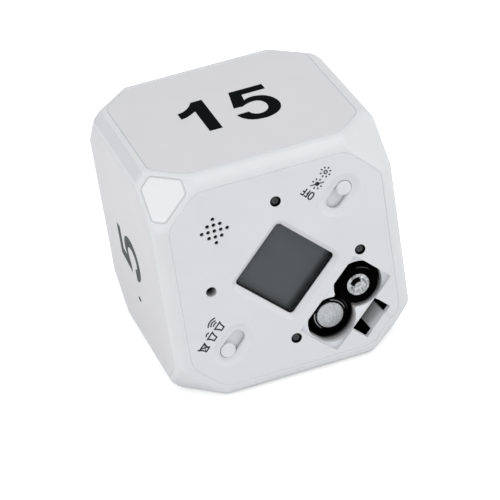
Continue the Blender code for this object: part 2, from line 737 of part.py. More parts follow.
def add_cover_backing(cover):
    """What stands behind the cover's plate: bay floor, bosses, speaker ring and slide guides."""
    root = COVER_THICKNESS - LAP
    bm = bmesh.new()
    bay_back(bm, 0, root, BAY_DEPTH + BAY_FLOOR)
    join(cover, tool("bay_backing", bm, front_diagonal))

    bm = bmesh.new()
    for place in SCREW_PLACES:
        rod(bm, BOSS_RADIUS, root, BOSS_DEPTH, place, SMALL_SIDES)
    join(cover, tool("cover_bosses", bm, front_face))

    bm = bmesh.new()
    for place in BOARD_SCREW_PLACES:
        rod(bm, STANDOFF_RADIUS, root, UNDER_BOARD, place, SMALL_SIDES)
    join(cover, tool("board_standoffs", bm, front_diagonal))

    bm = bmesh.new()
    rod(bm, SPEAKER_RING_RADIUS, root, SPEAKER_RING_FAR, (0, SPEAKER_REACH))
    join(cover, tool("speaker_ring", bm, front_diagonal))
    bm = bmesh.new()
    bore = SPEAKER_RADIUS + GAP
    rod(bm, bore, COVER_THICKNESS, SPEAKER_RING_FAR + OVERRUN, (0, SPEAKER_REACH))
    cut(cover, tool("speaker_ring_bore", bm, front_diagonal))

    bm = bmesh.new()
    guide_low = FLANGE_HALF_WIDTH + GAP
    guide_high = guide_low + GUIDE_THICKNESS
    for side in (-1, 1):
        centre = side * SLIDE_REACH
        for flank in (-1, 1):
            low_v, high_v = sorted((flank * guide_low, flank * guide_high))
            low = (centre - GUIDE_HALF_LENGTH, low_v)
            high = (centre + GUIDE_HALF_LENGTH, high_v)
            block(bm, low, high, root, GUIDE_FAR)
    join(cover, tool("slide_guides", bm, front_diagonal))


def cut_window(cover):
    bm = bmesh.new()
    rounded_block(bm, WINDOW_HALF, WINDOW_ROUND, WINDOW_BEVEL_DEPTH, COVER_THICKNESS + OVERRUN)
    mouth = max(bm.faces, key=lambda face: face.calc_center_median().z)
    share = 1 + WINDOW_BEVEL_WIDTH / WINDOW_HALF
    overrun_share = 1 + OVERRUN / WINDOW_BEVEL_DEPTH
    flare = 1 + (share - 1) * overrun_share
    corners = pull_face(bm, mouth)[1]
    bmesh.ops.scale(bm, vec=(flare, flare, 1), verts=corners)
    bmesh.ops.translate(bm, vec=(0, 0, WINDOW_BEVEL_DEPTH + OVERRUN), verts=corners)
    cut(cover, tool("window_opening", bm, front_diagonal))


def cut_screw_holes(cover):
    bm = bmesh.new()
    for place, drop in zip(SCREW_PLACES, SCREW_DROPS):
        seat = SCREW_HEAD_DEPTH + drop + SCREW_HEAD_HEIGHT + GAP
        rod(bm, SCREW_HOLE_RADIUS, -OVERRUN, seat, place)
    cut(cover, tool("screw_head_holes", bm, front_face))
    bm = bmesh.new()
    for place in SCREW_PLACES:
        rod(bm, SCREW_SHANK_RADIUS + GAP, 0, BOSS_DEPTH + OVERRUN, place, SMALL_SIDES)
    cut(cover, tool("screw_shank_holes", bm, front_face))
    bm = bmesh.new()
    shank_end = ON_BOARD - BOARD_SCREW_SHANK_LENGTH
    for place in BOARD_SCREW_PLACES:
        rod(bm, BOARD_SCREW_SHANK_RADIUS + GAP, shank_end - GAP, BOARD_NEAR, place, SMALL_SIDES)
    cut(cover, tool("standoff_holes", bm, front_diagonal))


def cut_speaker_holes(cover):
    rings = SPEAKER_HOLE_RINGS
    bm = bmesh.new()
    for column, row in itertools.product(range(-rings, rings + 1), repeat=2):
        if abs(column) + abs(row) <= rings:
            place = (column * SPEAKER_HOLE_PITCH, row * SPEAKER_HOLE_PITCH)
            rod(bm, SPEAKER_HOLE_RADIUS, -OVERRUN, COVER_THICKNESS + OVERRUN, place, SMALL_SIDES)
    holes = tool(
        "speaker_holes", bm, front_diagonal, (0, SPEAKER_REACH, 0), (0, 0, -QUARTER / 2)
    )
    cut(cover, holes)


def cut_slides(cover):
    """A dish round each slot, and the slot itself."""
    for slide in (light_slide, volume_slide):
        rings = [(DISH_RADIUS, -OVERRUN)]
        rings += [(DISH_RADIUS * wide, DISH_DEPTH * deep) for wide, deep in DISH_RING_SHARES]
        bm = bmesh.new()
        stack(bm, rings)
        part_lengthways(bm, SLIDE_TRAVEL)
        cut(cover, tool(f"{slide.name}_dish", bm, slide))
        bm = bmesh.new()
        stack(bm, ((SLOT_RADIUS, -OVERRUN), (SLOT_RADIUS, COVER_THICKNESS + OVERRUN)))
        part_lengthways(bm, SLIDE_TRAVEL)
        cut(cover, tool(f"{slide.name}_slot", bm, slide))


def cut_bay(cover):
    bay_half = (BAY_LENGTH / 2, BAY_WIDTH / 2)
    floor_far = BAY_DEPTH + BAY_FLOOR
    bm = bmesh.new()
    centred_block(bm, bay_half[0], bay_half[1], -OVERRUN, BAY_DEPTH, (0, -BAY_REACH))
    cut(cover, tool("bay_recess", bm, front_diagonal))
    bm = bmesh.new()
    block(bm, (-STEP_HALF, -POCKET_NEAR_REACH - LAP), (STEP_HALF, -BAY_REACH), -OVERRUN, BAY_DEPTH)
    cut(cover, tool("bay_step", bm, front_diagonal))

    for side, name in zip(CELL_SIDES, ("right_well", "left_well")):
        bm = bmesh.new()
        well(bm, side, 0, 0, floor_far + OVERRUN)
        cut(cover, tool(name, bm, front_diagonal))
    bm = bmesh.new()
    centred_block(bm, NECK_WIDTH / 2, NECK_HEIGHT / 2, 0, floor_far + OVERRUN, (0, -WELL_REACH))
    cut(cover, tool("well_neck", bm, front_diagonal))


def cut_pocket(cover):
    """The latch pocket, the sloping tongue that hangs in it, and the nail relief beyond it."""
    floor_far = BAY_DEPTH + BAY_FLOOR
    bm = bmesh.new()
    block(
        bm, (-POCKET_HALF, -POCKET_FAR_REACH), (POCKET_HALF, -POCKET_NEAR_REACH),
        -OVERRUN, floor_far + OVERRUN,
    )
    cut(cover, tool("latch_pocket", bm, front_diagonal))

    bm = bmesh.new()
    block(
        bm, (-TONGUE_HALF, -TONGUE_THICKNESS), (TONGUE_HALF, 0), 0, TONGUE_LENGTH
    )
    tongue = tool(
        "latch_tongue", bm, front_diagonal,
        (0, -POCKET_FAR_REACH, -TONGUE_TOP_DEPTH), (TONGUE_TILT, 0, 0),
    )
    join(cover, tongue)

    bm = bmesh.new()
    block(
        bm, (-RELIEF_HALF, -COVER_SUM), (RELIEF_HALF, -POCKET_FAR_REACH + LAP),
        -OVERRUN, RELIEF_DEPTH,
    )
    cut(cover, tool("nail_relief", bm, front_diagonal))


def build_front_cover():
    bm = bmesh.new()
    octagon(bm, COVER_HALF, COVER_SUM, 0, COVER_THICKNESS)
    cover = piece("front_cover", bm, front_face, cover_white)
    round_edges(cover, COVER_ROUND, segments=1)
    add_cover_backing(cover)
    cut_window(cover)
    cut_screw_holes(cover)
    cut_speaker_holes(cover)
    cut_slides(cover)
    cut_bay(cover)
    cut_pocket(cover)


def build_cover_screws():
    bm = bmesh.new()
    rings = (
        (SCREW_HEAD_RADIUS, 0),
        (SCREW_HEAD_RADIUS, SCREW_HEAD_HEIGHT),
        (SCREW_SHANK_RADIUS, SCREW_HEAD_HEIGHT),
        (SCREW_SHANK_RADIUS, SCREW_HEAD_HEIGHT + SCREW_SHANK_LENGTH),
    )
    stack(bm, rings, sides=SMALL_SIDES)
    names = ("right_cover_screw", "top_cover_screw", "bottom_cover_screw", "left_cover_screw")
    places = [(*place, SCREW_HEAD_DEPTH + drop) for place, drop in zip(SCREW_PLACES, SCREW_DROPS)]
    pieces(names, bm, front_face, screw_black, places)


# Corner lens and signal lamp

def build_signal_lamp():
    bm = bmesh.new()
    hexagon(bm, LENS_LONG_REACH, LENS_SHORT_REACH, 0, LENS_THICKNESS)
    round_edges(piece("corner_lens", bm, lens_corner, lens_white), LENS_ROUND, segments=2)

    dome = []
    steps = 5
    for index in range(steps + 1):
        angle = QUARTER * index / steps
        depth = LAMP_DEPTH + LAMP_RADIUS * (1 - math.cos(angle))
        dome.append((LAMP_RADIUS * math.sin(angle), depth))
    foot = LAMP_BASE_RUN - LAMP_FOOT_HEIGHT
    dome += [
        (LAMP_RADIUS, foot), (LAMP_FOOT_RADIUS, foot), (LAMP_FOOT_RADIUS, LAMP_BASE_RUN), (0, LAMP_BASE_RUN)
    ]
    turned("signal_lamp", dome, lens_corner, lamp_clear)

    lead_depth = ON_BOARD + LEAD_RADIUS
    for side, name in ((-1, "left_lamp_lead"), (1, "right_lamp_lead")):
        u = side * LEAD_SPREAD
        corners = (
            (u, LENS_REACH - ACROSS_SHARE * LEAD_START_RUN, LENS_DEPTH + DEPTH_SHARE * LEAD_START_RUN),
            (u, LEAD_CORNER_REACH, lead_depth),
            (u, BOARD_LAMP_EDGE - LEAD_LANDING, lead_depth),
        )
        wire(name, routed(corners, LEAD_BEND / 2), LEAD_RADIUS, front_diagonal, contact_metal)


# Display

def build_display():
    bm = bmesh.new()
    centred_block(bm, PANE_HALF, PANE_HALF, PANE_NEAR, PANE_NEAR + PANE_THICKNESS)
    piece("display_window", bm, front_diagonal, clear_plastic)

    bm = bmesh.new()
    rounded_block(bm, SHADE_HALF, SHADE_ROUND, PANE_NEAR, UNDER_BOARD)
    shade = piece("display_frame", bm, front_diagonal, shade_black)
    bm = bmesh.new()
    rounded_block(
        bm, SHADE_OPENING_HALF, WINDOW_ROUND, PANE_NEAR - OVERRUN, UNDER_BOARD + OVERRUN
    )
    cut(shade, tool("shade_opening", bm, front_diagonal))
    bm = bmesh.new()
    pane_seat = PANE_HALF + GAP
    centred_block(bm, pane_seat, pane_seat, PANE_NEAR - OVERRUN, SHADE_OPENING_NEAR)
    cut(shade, tool("pane_seat", bm, front_diagonal))
    bm = bmesh.new()
    panel_seat = PANEL_HALF + GAP
    centred_block(bm, panel_seat, panel_seat, PANEL_NEAR - GAP, UNDER_BOARD + OVERRUN)
    cut(shade, tool("panel_seat", bm, front_diagonal))

    bm = bmesh.new()
    centred_block(bm, PANEL_HALF, PANEL_HALF, PANEL_NEAR, PANEL_NEAR + PANEL_THICKNESS)
    piece("display_panel", bm, front_diagonal, panel_grey)

    bm = bmesh.new()
    centred_block(bm, STRIP_LENGTH / 2, STRIP_WIDTH / 2, 0, STRIP_HEIGHT)
    names = ("upper_display_connector", "lower_display_connector")
    places = ((0, STRIP_REACH, STRIP_NEAR), (0, -STRIP_REACH, STRIP_NEAR))
    pieces(names, bm, front_diagonal, rubber_grey, places)


# Main board and what is on it

def build_board():
    bm = bmesh.new()
    octagon(bm, BOARD_HALF, BOARD_SUM, BOARD_NEAR, BOARD_FAR)
    toward_bay = Vector((1, -1, 0)).normalized()
    slice_off(bm, toward_bay * BOARD_BAY_EDGE, toward_bay)
    slice_off(bm, -toward_bay * BOARD_LAMP_EDGE, -toward_bay)
    board = piece("main_board", bm, front_face, board_green)
    bm = bmesh.new()
    for place in SCREW_PLACES:
        rod(bm, BOSS_RADIUS + GAP, BOARD_NEAR - OVERRUN, BOARD_FAR + OVERRUN, place)
    cut(board, tool("board_post_holes", bm, front_face))

    bm = bmesh.new()
    radius = BOARD_SCREW_SHANK_RADIUS + GAP
    for place in BOARD_SCREW_PLACES:
        rod(bm, radius, BOARD_NEAR - OVERRUN, BOARD_FAR + OVERRUN, place, SMALL_SIDES)
    cut(board, tool("board_screw_holes", bm, front_diagonal))

    bm = bmesh.new()
    rings = (
        (BOARD_SCREW_SHANK_RADIUS, -BOARD_SCREW_SHANK_LENGTH),
        (BOARD_SCREW_SHANK_RADIUS, 0),
        (BOARD_SCREW_HEAD_RADIUS, 0),
        (BOARD_SCREW_HEAD_RADIUS, BOARD_SCREW_HEAD_HEIGHT),
    )
    stack(bm, rings, sides=SMALL_SIDES)
    names = ("right_board_screw", "top_board_screw", "bottom_board_screw", "left_board_screw")
    places = [(*place, ON_BOARD) for place in BOARD_SCREW_PLACES]
    pieces(names, bm, front_diagonal, screw_zinc, places)

    bm = bmesh.new()
    half = CONTROLLER_SIZE / 2
    centred_block(bm, half, half, ON_BOARD, ON_BOARD + CONTROLLER_HEIGHT, CONTROLLER_PLACE)
    piece("controller_chip", bm, front_diagonal, chip_black)
    bm = bmesh.new()
    half = SENSOR_SIZE / 2
    centred_block(bm, half, half, ON_BOARD, ON_BOARD + SENSOR_HEIGHT, SENSOR_PLACE)
    piece("gravity_sensor", bm, front_diagonal, chip_black)

    half = CRYSTAL_LENGTH / 2
    profile = ((0, -half), (CRYSTAL_RADIUS, -half), (CRYSTAL_RADIUS, half), (0, half))
    place = (*CRYSTAL_PLACE, -ON_BOARD - CRYSTAL_RADIUS)
    turned("clock_crystal", profile, front_diagonal, crystal_metal, place, (QUARTER, 0, 0))

    bm = bmesh.new()
    rod(bm, CAPACITOR_RADIUS, 0, CAPACITOR_HEIGHT)
    x, y = CAPACITOR_PLACE
    places = [(x, y + side * CAPACITOR_SPACING / 2, ON_BOARD) for side in (1, -1)]
    pieces(("upper_capacitor", "lower_capacitor"), bm, front_diagonal, capacitor_blue, places)


# Slides: a knob in each slot, and the switch that its lever works

def build_slide(name, slide, side):
    """The knob and lever rest at the outer end of the slot, towards side."""
    rest = (side * SLIDE_TRAVEL / 2, 0)
    bm = bmesh.new()
    centred_block(bm, FLANGE_HALF_LENGTH, FLANGE_HALF_WIDTH, BEHIND_COVER, FLANGE_FAR, rest)
    knob = piece(f"{name}_knob", bm, slide, cover_white)
    bm = bmesh.new()
    centred_block(bm, SOCKET_HALF, SOCKET_HALF, FLANGE_FAR - LAP, SOCKET_FAR, rest)
    join(knob, tool(f"{name}_knob_socket", bm, slide))
    bm = bmesh.new()
    shoulder = KNOB_TOP_DEPTH + KNOB_ROUND
    rings = (
        (KNOB_RADIUS - KNOB_ROUND, KNOB_TOP_DEPTH),
        (KNOB_RADIUS - KNOB_ROUND * (1 - math.sqrt(0.5)), shoulder - KNOB_ROUND * math.sqrt(0.5)),
        (KNOB_RADIUS, shoulder),
        (KNOB_RADIUS, BEHIND_COVER + LAP),
    )
    stack(bm, rings, rest)
    join(knob, tool(f"{name}_knob_stub", bm, slide))
    bm = bmesh.new()
    hole = LEVER_HALF + GAP
    centred_block(bm, hole, hole, LEVER_NEAR - GAP, SOCKET_FAR + OVERRUN, rest)
    cut(knob, tool(f"{name}_knob_hole", bm, slide))

    base_near = SWITCH_INSIDE_NEAR + GAP
    bm = bmesh.new()
    half_length, half_width = LEVER_BASE_LENGTH / 2, LEVER_BASE_WIDTH / 2
    centred_block(bm, half_length, half_width, base_near, SWITCH_INSIDE_FAR - GAP, rest)
    lever = piece(f"{name}_switch_lever", bm, slide, lever_black)
    bm = bmesh.new()
    centred_block(bm, LEVER_HALF, LEVER_HALF, LEVER_NEAR, base_near + LAP, rest)
    join(lever, tool(f"{name}_lever_stem", bm, slide))

    bm = bmesh.new()
    centred_block(bm, SWITCH_HALF_LENGTH, SWITCH_HALF_WIDTH, SWITCH_NEAR, UNDER_BOARD)
    body = piece(f"{name}_switch_body", bm, slide, switch_metal)
    bm = bmesh.new()
    half_length, half_width = SWITCH_HALF_LENGTH - SWITCH_WALL, SWITCH_HALF_WIDTH - SWITCH_WALL
    centred_block(bm, half_length, half_width, SWITCH_INSIDE_NEAR, SWITCH_INSIDE_FAR)
    cut(body, tool(f"{name}_switch_cavity", bm, slide))
    bm = bmesh.new()
    stem_run = SLIDE_TRAVEL / 2 + LEVER_HALF + GAP
    centred_block(bm, stem_run, LEVER_HALF + GAP, SWITCH_NEAR - OVERRUN, SWITCH_INSIDE_NEAR + GAP)
    cut(body, tool(f"{name}_switch_slot", bm, slide))


# Speaker

def build_speaker():
    place = (0, SPEAKER_REACH, 0)
    inner = SPEAKER_RADIUS - SPEAKER_WALL
    profile = (
        (0, SPEAKER_FAR - SPEAKER_WALL),
        (inner, SPEAKER_FAR - SPEAKER_WALL),
        (inner, BEHIND_COVER),
        (SPEAKER_RADIUS, BEHIND_COVER),
        (SPEAKER_RADIUS, SPEAKER_FAR),
        (0, SPEAKER_FAR),
    )
    turned("speaker_basket", profile, front_diagonal, speaker_black, place)

    film_near = BEHIND_COVER + SPEAKER_WALL
    film_far = film_near + DIAPHRAGM_THICKNESS
    profile = (
        (0, film_near),
        (DIAPHRAGM_DOME_RADIUS / 2, film_near + DIAPHRAGM_DOME_RISE / 4),
        (DIAPHRAGM_DOME_RADIUS, film_near + DIAPHRAGM_DOME_RISE),
        (DIAPHRAGM_RADIUS, film_near),
        (DIAPHRAGM_RADIUS, film_far),
        (DIAPHRAGM_DOME_RADIUS, film_far + DIAPHRAGM_DOME_RISE),
        (0, film_far),
    )
    turned("speaker_diaphragm", profile, front_diagonal, diaphragm_film, place)

    magnet_near = SPEAKER_FAR + GAP
    magnet_far = magnet_near + MAGNET_HEIGHT
    profile = ((0, magnet_near), (MAGNET_RADIUS, magnet_near), (MAGNET_RADIUS, magnet_far), (0, magnet_far))
    turned("speaker_magnet", profile, front_diagonal, magnet_metal, place)

    v = SPEAKER_REACH - SPEAKER_WIRE_DROP
    for side, name, finish in ((-1, "red_speaker_wire", wire_red), (1, "black_speaker_wire", wire_black)):
        u = side * SPEAKER_WIRE_SPREAD
        route = ((u, v, SPEAKER_FAR + GAP), (u, v, UNDER_BOARD))
        wire(name, route, SPEAKER_WIRE_RADIUS, front_diagonal, finish)


# Battery holder, its contacts and the two cells

def build_holder():
    """Two tubes, open to each other where they meet, and a collar that carries on the wells' shape."""
    collar_far = UNDER_BOARD
    pit_far = collar_far - COLLAR_FLOOR
    tube_near = pit_far + COLLAR_FLOOR / 2
    bm = bmesh.new()
    well(bm, CELL_SIDES[0], COLLAR_WALL, HOLDER_NEAR, collar_far)
    holder = piece("battery_holder", bm, front_diagonal, shade_black)
    bm = bmesh.new()
    well(bm, CELL_SIDES[1], COLLAR_WALL, HOLDER_NEAR, collar_far)
    join(holder, tool("holder_second_collar", bm, front_diagonal))
    bm = bmesh.new()
    place = (0, -WELL_REACH)
    half_width, half_height = NECK_WIDTH / 2 + COLLAR_WALL, NECK_HEIGHT / 2 + COLLAR_WALL
    centred_block(bm, half_width, half_height, HOLDER_NEAR, collar_far, place)
    join(holder, tool("holder_neck_collar", bm, front_diagonal))
    for side, name in zip(CELL_SIDES, ("right", "left")):
        bm = bmesh.new()
        place = (side * CELL_SPACING / 2, -CELL_REACH)
        rod(bm, HOLDER_RADIUS, tube_near, HOLDER_FAR, place, 2 * ROUND_SIDES)
        join(holder, tool(f"{name}_holder_tube", bm, front_diagonal))

    for side, name in zip(CELL_SIDES, ("right", "left")):
        bm = bmesh.new()
        well(bm, side, 0, HOLDER_NEAR - OVERRUN, pit_far)
        cut(holder, tool(f"{name}_holder_pit", bm, front_diagonal))
    bm = bmesh.new()
    place = (0, -WELL_REACH)
    centred_block(bm, NECK_WIDTH / 2, NECK_HEIGHT / 2, HOLDER_NEAR - OVERRUN, pit_far, place)
    cut(holder, tool("holder_neck", bm, front_diagonal))

    for side, name in zip(CELL_SIDES, ("right", "left")):
        place = (side * CELL_SPACING / 2, -CELL_REACH)
        bm = bmesh.new()
        rod(bm, BORE_RADIUS, HOLDER_NEAR, HOLDER_FLOOR_NEAR, place, 2 * ROUND_SIDES)
        cut(holder, tool(f"{name}_holder_bore", bm, front_diagonal))
        bm = bmesh.new()
        radius = CONTACT_TAIL_RADIUS + GAP
        rod(bm, radius, HOLDER_FLOOR_NEAR - OVERRUN, HOLDER_FAR + OVERRUN, place, SMALL_SIDES)
        cut(holder, tool(f"{name}_tail_hole", bm, front_diagonal))

    bm = bmesh.new()
    place = (0, -CELL_REACH)
    centred_block(bm, NECK_WIDTH / 2, PASSAGE_HEIGHT / 2, HOLDER_NEAR, HOLDER_FLOOR_NEAR, place)
    cut(holder, tool("holder_passage", bm, front_diagonal))

    contact_far = CONTACT_NEAR + CONTACT_THICKNESS
    for side, name in zip(CELL_SIDES, ("spring_contact_plate", "flat_contact_plate")):
        rings = (
            (CONTACT_RADIUS, CONTACT_NEAR),
            (CONTACT_RADIUS, contact_far),
            (CONTACT_TAIL_RADIUS, contact_far),
            (CONTACT_TAIL_RADIUS, CONTACT_TAIL_END),
        )
        bm = bmesh.new()
        stack(bm, rings, (side * CELL_SPACING / 2, -CELL_REACH))
        piece(name, bm, front_diagonal, contact_metal)

    top = NOSE_UP_CELL_DEPTH + CELL_LENGTH + GAP + SPRING_WIRE_RADIUS
    foot = CONTACT_NEAR - GAP - SPRING_WIRE_RADIUS
    count = SPRING_TURNS * SPRING_POINTS_PER_TURN
    coil = []
    for index in range(count + 1):
        share = index / count
        angle = 2 * math.pi * SPRING_TURNS * share
        radius = SPRING_TOP_RADIUS + (SPRING_BASE_RADIUS - SPRING_TOP_RADIUS) * share
        x = CELL_SPACING / 2 + radius * math.cos(angle)
        y = -CELL_REACH + radius * math.sin(angle)
        coil.append((x, y, top + (foot - top) * share))
    wire("contact_spring", coil, SPRING_WIRE_RADIUS, front_diagonal, contact_metal)


def build_battery_wires():
    """A wire from each contact's tail, over the holder's end and along it to the board."""
    start = CONTACT_TAIL_END + GAP
    over = start + 2 * BATTERY_WIRE_BEND
    beside = -(CELL_REACH - HOLDER_RADIUS - GAP - BATTERY_WIRE_RADIUS)
    on_board = ON_BOARD + BATTERY_WIRE_RADIUS
    for side, name, finish in ((1, "black_battery_wire", wire_black), (-1, "red_battery_wire", wire_red)):
        u = side * CELL_SPACING / 2
        corners = (
            (u, -CELL_REACH, start),
            (u, -CELL_REACH, over),
            (u, beside, over),
            (u, beside, on_board),
            (u, BATTERY_WIRE_LANDING - BOARD_BAY_EDGE, on_board),
        )
        route = routed(corners, BATTERY_WIRE_BEND / 2)
        wire(name, route, BATTERY_WIRE_RADIUS, front_diagonal, finish)


def build_cell(name, side, nose_up, end_depth):
    """A cell is measured along itself from its nose, and turned over when its tail is up."""
    nose = 0
    shoulder = CELL_NUB_HEIGHT + SLEEVE_THICKNESS + GAP
    tail = CELL_LENGTH
    steel_radius = CELL_RADIUS - SLEEVE_THICKNESS - GAP
    steel_tail = tail - CELL_END_THICKNESS - GAP
    can = (
        (0, nose),
        (CELL_NUB_RADIUS - CELL_NUB_ROUND, nose),
        (CELL_NUB_RADIUS, nose + CELL_NUB_ROUND),
        (CELL_NUB_RADIUS, shoulder),
        (steel_radius, shoulder),
        (steel_radius, steel_tail),
        (0, steel_tail),
    )
    end_cap = (
        (0, tail - CELL_END_THICKNESS),
        (CELL_END_RADIUS, tail - CELL_END_THICKNESS),
        (CELL_END_RADIUS, tail),
        (0, tail),
    )
    inner = CELL_RADIUS - SLEEVE_THICKNESS
    sleeve_nose = CELL_NUB_HEIGHT
    sleeve_tail = steel_tail + GAP + SLEEVE_THICKNESS
    sleeve = (
        (SLEEVE_NOSE_OPENING, sleeve_nose),
        (CELL_RADIUS, sleeve_nose),
        (CELL_RADIUS, sleeve_tail),
        (SLEEVE_TAIL_OPENING, sleeve_tail),
        (SLEEVE_TAIL_OPENING, sleeve_tail - SLEEVE_THICKNESS),
        (inner, sleeve_tail - SLEEVE_THICKNESS),
        (inner, sleeve_nose + SLEEVE_THICKNESS),
        (SLEEVE_NOSE_OPENING, sleeve_nose + SLEEVE_THICKNESS),
    )
    depth = end_depth if nose_up else end_depth + CELL_LENGTH
    place = (side * CELL_SPACING / 2, -CELL_REACH, -depth)
    turn = (0, 0, 0) if nose_up else (math.pi, 0, 0)
    turned(f"{name}_can", can, front_diagonal, cell_steel, place, turn)
    turned(f"{name}_end_cap", end_cap, front_diagonal, cell_steel, place, turn)
    turned(f"{name}_sleeve", sleeve, front_diagonal, sleeve_black, place, turn, closed=True)


build_housing()
build_plates()
build_front_cover()
build_cover_screws()
build_signal_lamp()
build_display()
build_board()
build_slide("light", light_slide, 1)
build_slide("volume", volume_slide, -1)
build_speaker()
build_holder()
build_battery_wires()
build_cell("right_cell", 1, True, NOSE_UP_CELL_DEPTH)
build_cell("left_cell", -1, False, TAIL_UP_CELL_DEPTH)
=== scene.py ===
import itertools
import math

import bmesh
import bpy
from mathutils import Matrix, Quaternion, Vector


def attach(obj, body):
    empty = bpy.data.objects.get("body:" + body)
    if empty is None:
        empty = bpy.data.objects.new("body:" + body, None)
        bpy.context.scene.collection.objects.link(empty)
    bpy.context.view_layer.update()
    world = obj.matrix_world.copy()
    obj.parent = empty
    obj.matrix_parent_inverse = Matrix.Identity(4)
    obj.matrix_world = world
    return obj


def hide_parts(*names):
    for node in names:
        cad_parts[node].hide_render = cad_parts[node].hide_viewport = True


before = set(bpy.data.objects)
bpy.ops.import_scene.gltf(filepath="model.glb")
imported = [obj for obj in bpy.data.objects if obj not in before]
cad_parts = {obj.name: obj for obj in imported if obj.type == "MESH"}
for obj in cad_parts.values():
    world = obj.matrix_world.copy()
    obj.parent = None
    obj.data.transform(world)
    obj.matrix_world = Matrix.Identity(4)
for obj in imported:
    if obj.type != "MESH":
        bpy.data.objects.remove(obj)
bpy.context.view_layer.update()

# Sizes of the cube in metres, as the solids have them
HALF = 0.03175
CORNER_SUM = 0.08095
EDGE_SUM = 0.0610
SHELL = 0.0028
CORNER_WALL = 0.0018
CAVITY_SUM = CORNER_SUM - CORNER_WALL * math.sqrt(3)
COVER_HALF = 0.02785
COVER_SUM = 0.0476
COVER_THICKNESS = 0.0015
BEHIND_COVER = 0.0018
PLATE_HALF = 0.0276
PLATE_SUM = 0.0475
PLATE_THICKNESS = 0.0010
PLATE_SEAT = 0.0013
LEDGE_HALF = 0.02665
LEDGE_SUM = 0.0459
LEDGE_ROUND = 0.0015
ROOT_TWO = math.sqrt(2)

# Sizes of the visible surface: a piece let into a face fills the gap round it, and leaves only a seam
EDGE_ROUND = 0.00120
GAP_FILL = 0.00015
SEAM = 0.00001
RIM_ROUND = 0.00050
RIM_TURN = math.radians(46)
OUTLINE_ROUND = 0.0055
SUNK = 0.00002

# How far a tool reaches over the face that it opens, and through the far side or into another part
OVER = 0.0006
INTO = 0.001

# Small radii and margins are counted in tenths of a millimetre, and a shade begins just behind its face
TENTH = 0.0001
SKIN = 0.00006
HAIR = 0.000003


# Frames. In each, x runs right and y up as the face is read, and z points out of the cube.

def axes(x_axis, y_axis, origin):
    x_axis, y_axis = Vector(x_axis), Vector(y_axis)
    turned = Matrix((x_axis, y_axis, x_axis.cross(y_axis))).transposed().to_4x4()
    return Matrix.Translation(origin) @ turned


def moved(place, x, y, z, turn=0.0, axis="Z"):
    """A frame at a point of another frame, turned about one of its own axes."""
    return place @ Matrix.Translation((x, y, z)) @ Matrix.Rotation(turn, 4, axis)


FRONT = axes((1, 0, 0), (0, 0, 1), (0, -HALF, HALF))
REAR = axes((-1, 0, 0), (0, 0, 1), (0, HALF, HALF))
TOP = axes((1, 0, 0), (0, 1, 0), (0, 0, 2 * HALF))
BOTTOM = axes((-1, 0, 0), (0, 1, 0), (0, 0, 0))
LEFT = axes((0, 0, 1), (0, 1, 0), (-HALF, 0, HALF))
RIGHT = axes((0, 0, -1), (0, 1, 0), (HALF, 0, HALF))
DIAGONAL = moved(FRONT, 0, 0, 0, math.pi / 4)
SYMBOLS = moved(DIAGONAL, 0, 0, 0, math.pi / 2)
MIDDLE = Vector((0, 0, HALF))
CENTRE = Matrix.Translation(MIDDLE)

LENS_OUT = Vector((-1, -1, 1)).normalized()
LENS_LEAN = (Vector((0, 0, 1)) - LENS_OUT * LENS_OUT.z).normalized()
LENS = axes(LENS_LEAN, LENS_OUT.cross(LENS_LEAN), MIDDLE + LENS_OUT * (CORNER_SUM / math.sqrt(3)))


# Outlines: closed counterclockwise lists of (x, y)

def angles(count, shift=0.0):
    """Equal steps round a full turn."""
    return [2 * math.pi * (index + shift) / count for index in range(count)]


def neighbours(points):
    """Each point of an outline between the points before and after it."""
    spots = [Vector(point) for point in points]
    return zip(spots[-1:] + spots[:-1], spots, spots[1:] + spots[:1])


def rounded(corners, radius, steps=8):
    """A convex polygon with each corner turned into an arc."""
    points = []
    for before, corner, after in neighbours(corners):
        back, ahead = (before - corner).normalized(), (after - corner).normalized()
        opening = back.angle(ahead)
        centre = corner + (back + ahead).normalized() * (radius / math.sin(opening / 2))
        start = corner + back * (radius / math.tan(opening / 2)) - centre
        for step in range(steps + 1):
            points.append(centre + Matrix.Rotation((math.pi - opening) * step / steps, 2) @ start)
    return [tuple(point) for point in points]


def octagon(half, corner_sum, margin=0.0, radius=OUTLINE_ROUND):
    """The outline of a face, moved outwards by a margin."""
    long = half + margin
    short = corner_sum + margin * ROOT_TWO - long
    corners = [
        (long, -short), (long, short), (short, long), (-short, long),
        (-long, short), (-long, -short), (-short, -long), (short, -long),
    ]
    return rounded(corners, radius)


def rectangle(low, high, radius):
    return rounded([low, (high[0], low[1]), high, (low[0], high[1])], radius)


def box(wide, high, radius, place=(0, 0)):
    """A rectangle about a place, from its half sizes."""
    x, y = place
    return rectangle((x - wide, y - high), (x + wide, y + high), radius)


def round_points(place, radius, turns):
    x, y = place
    return [(x + radius * math.cos(turn), y + radius * math.sin(turn)) for turn in turns]


def circle(radius, place=(0, 0), sides=64):
    return round_points(place, radius, angles(sides, 0.5))


def stadium(radius, run, place, sides=96):
    """A circle drawn out along x."""
    return [(x + math.copysign(run / 2, x - place[0]), y) for x, y in circle(radius, place, sides)]


def arc(centre, radius, start, end, steps=6):
    """An open line of points from one angle to another, in degrees."""
    turns = [math.radians(start + (end - start) * index / steps) for index in range(steps + 1)]
    return round_points(centre, radius, turns)


def grown(points, offset):
    """An outline moved outwards by offset, with mitred corners."""
    if offset == 0:
        return points
    outer = []
    for before, here, after in neighbours(points):
        sides = (here - before, after - here)
        first, second = (Vector((side.y, -side.x)).normalized() for side in sides)
        mitre = (first + second) / max(0.3, 1 + first.dot(second))
        outer.append(tuple(here + mitre * offset))
    return outer


# Steps of a loft: (offset, depth) pairs from the face inwards

def straight(near, far):
    return ((0, near), (0, far))


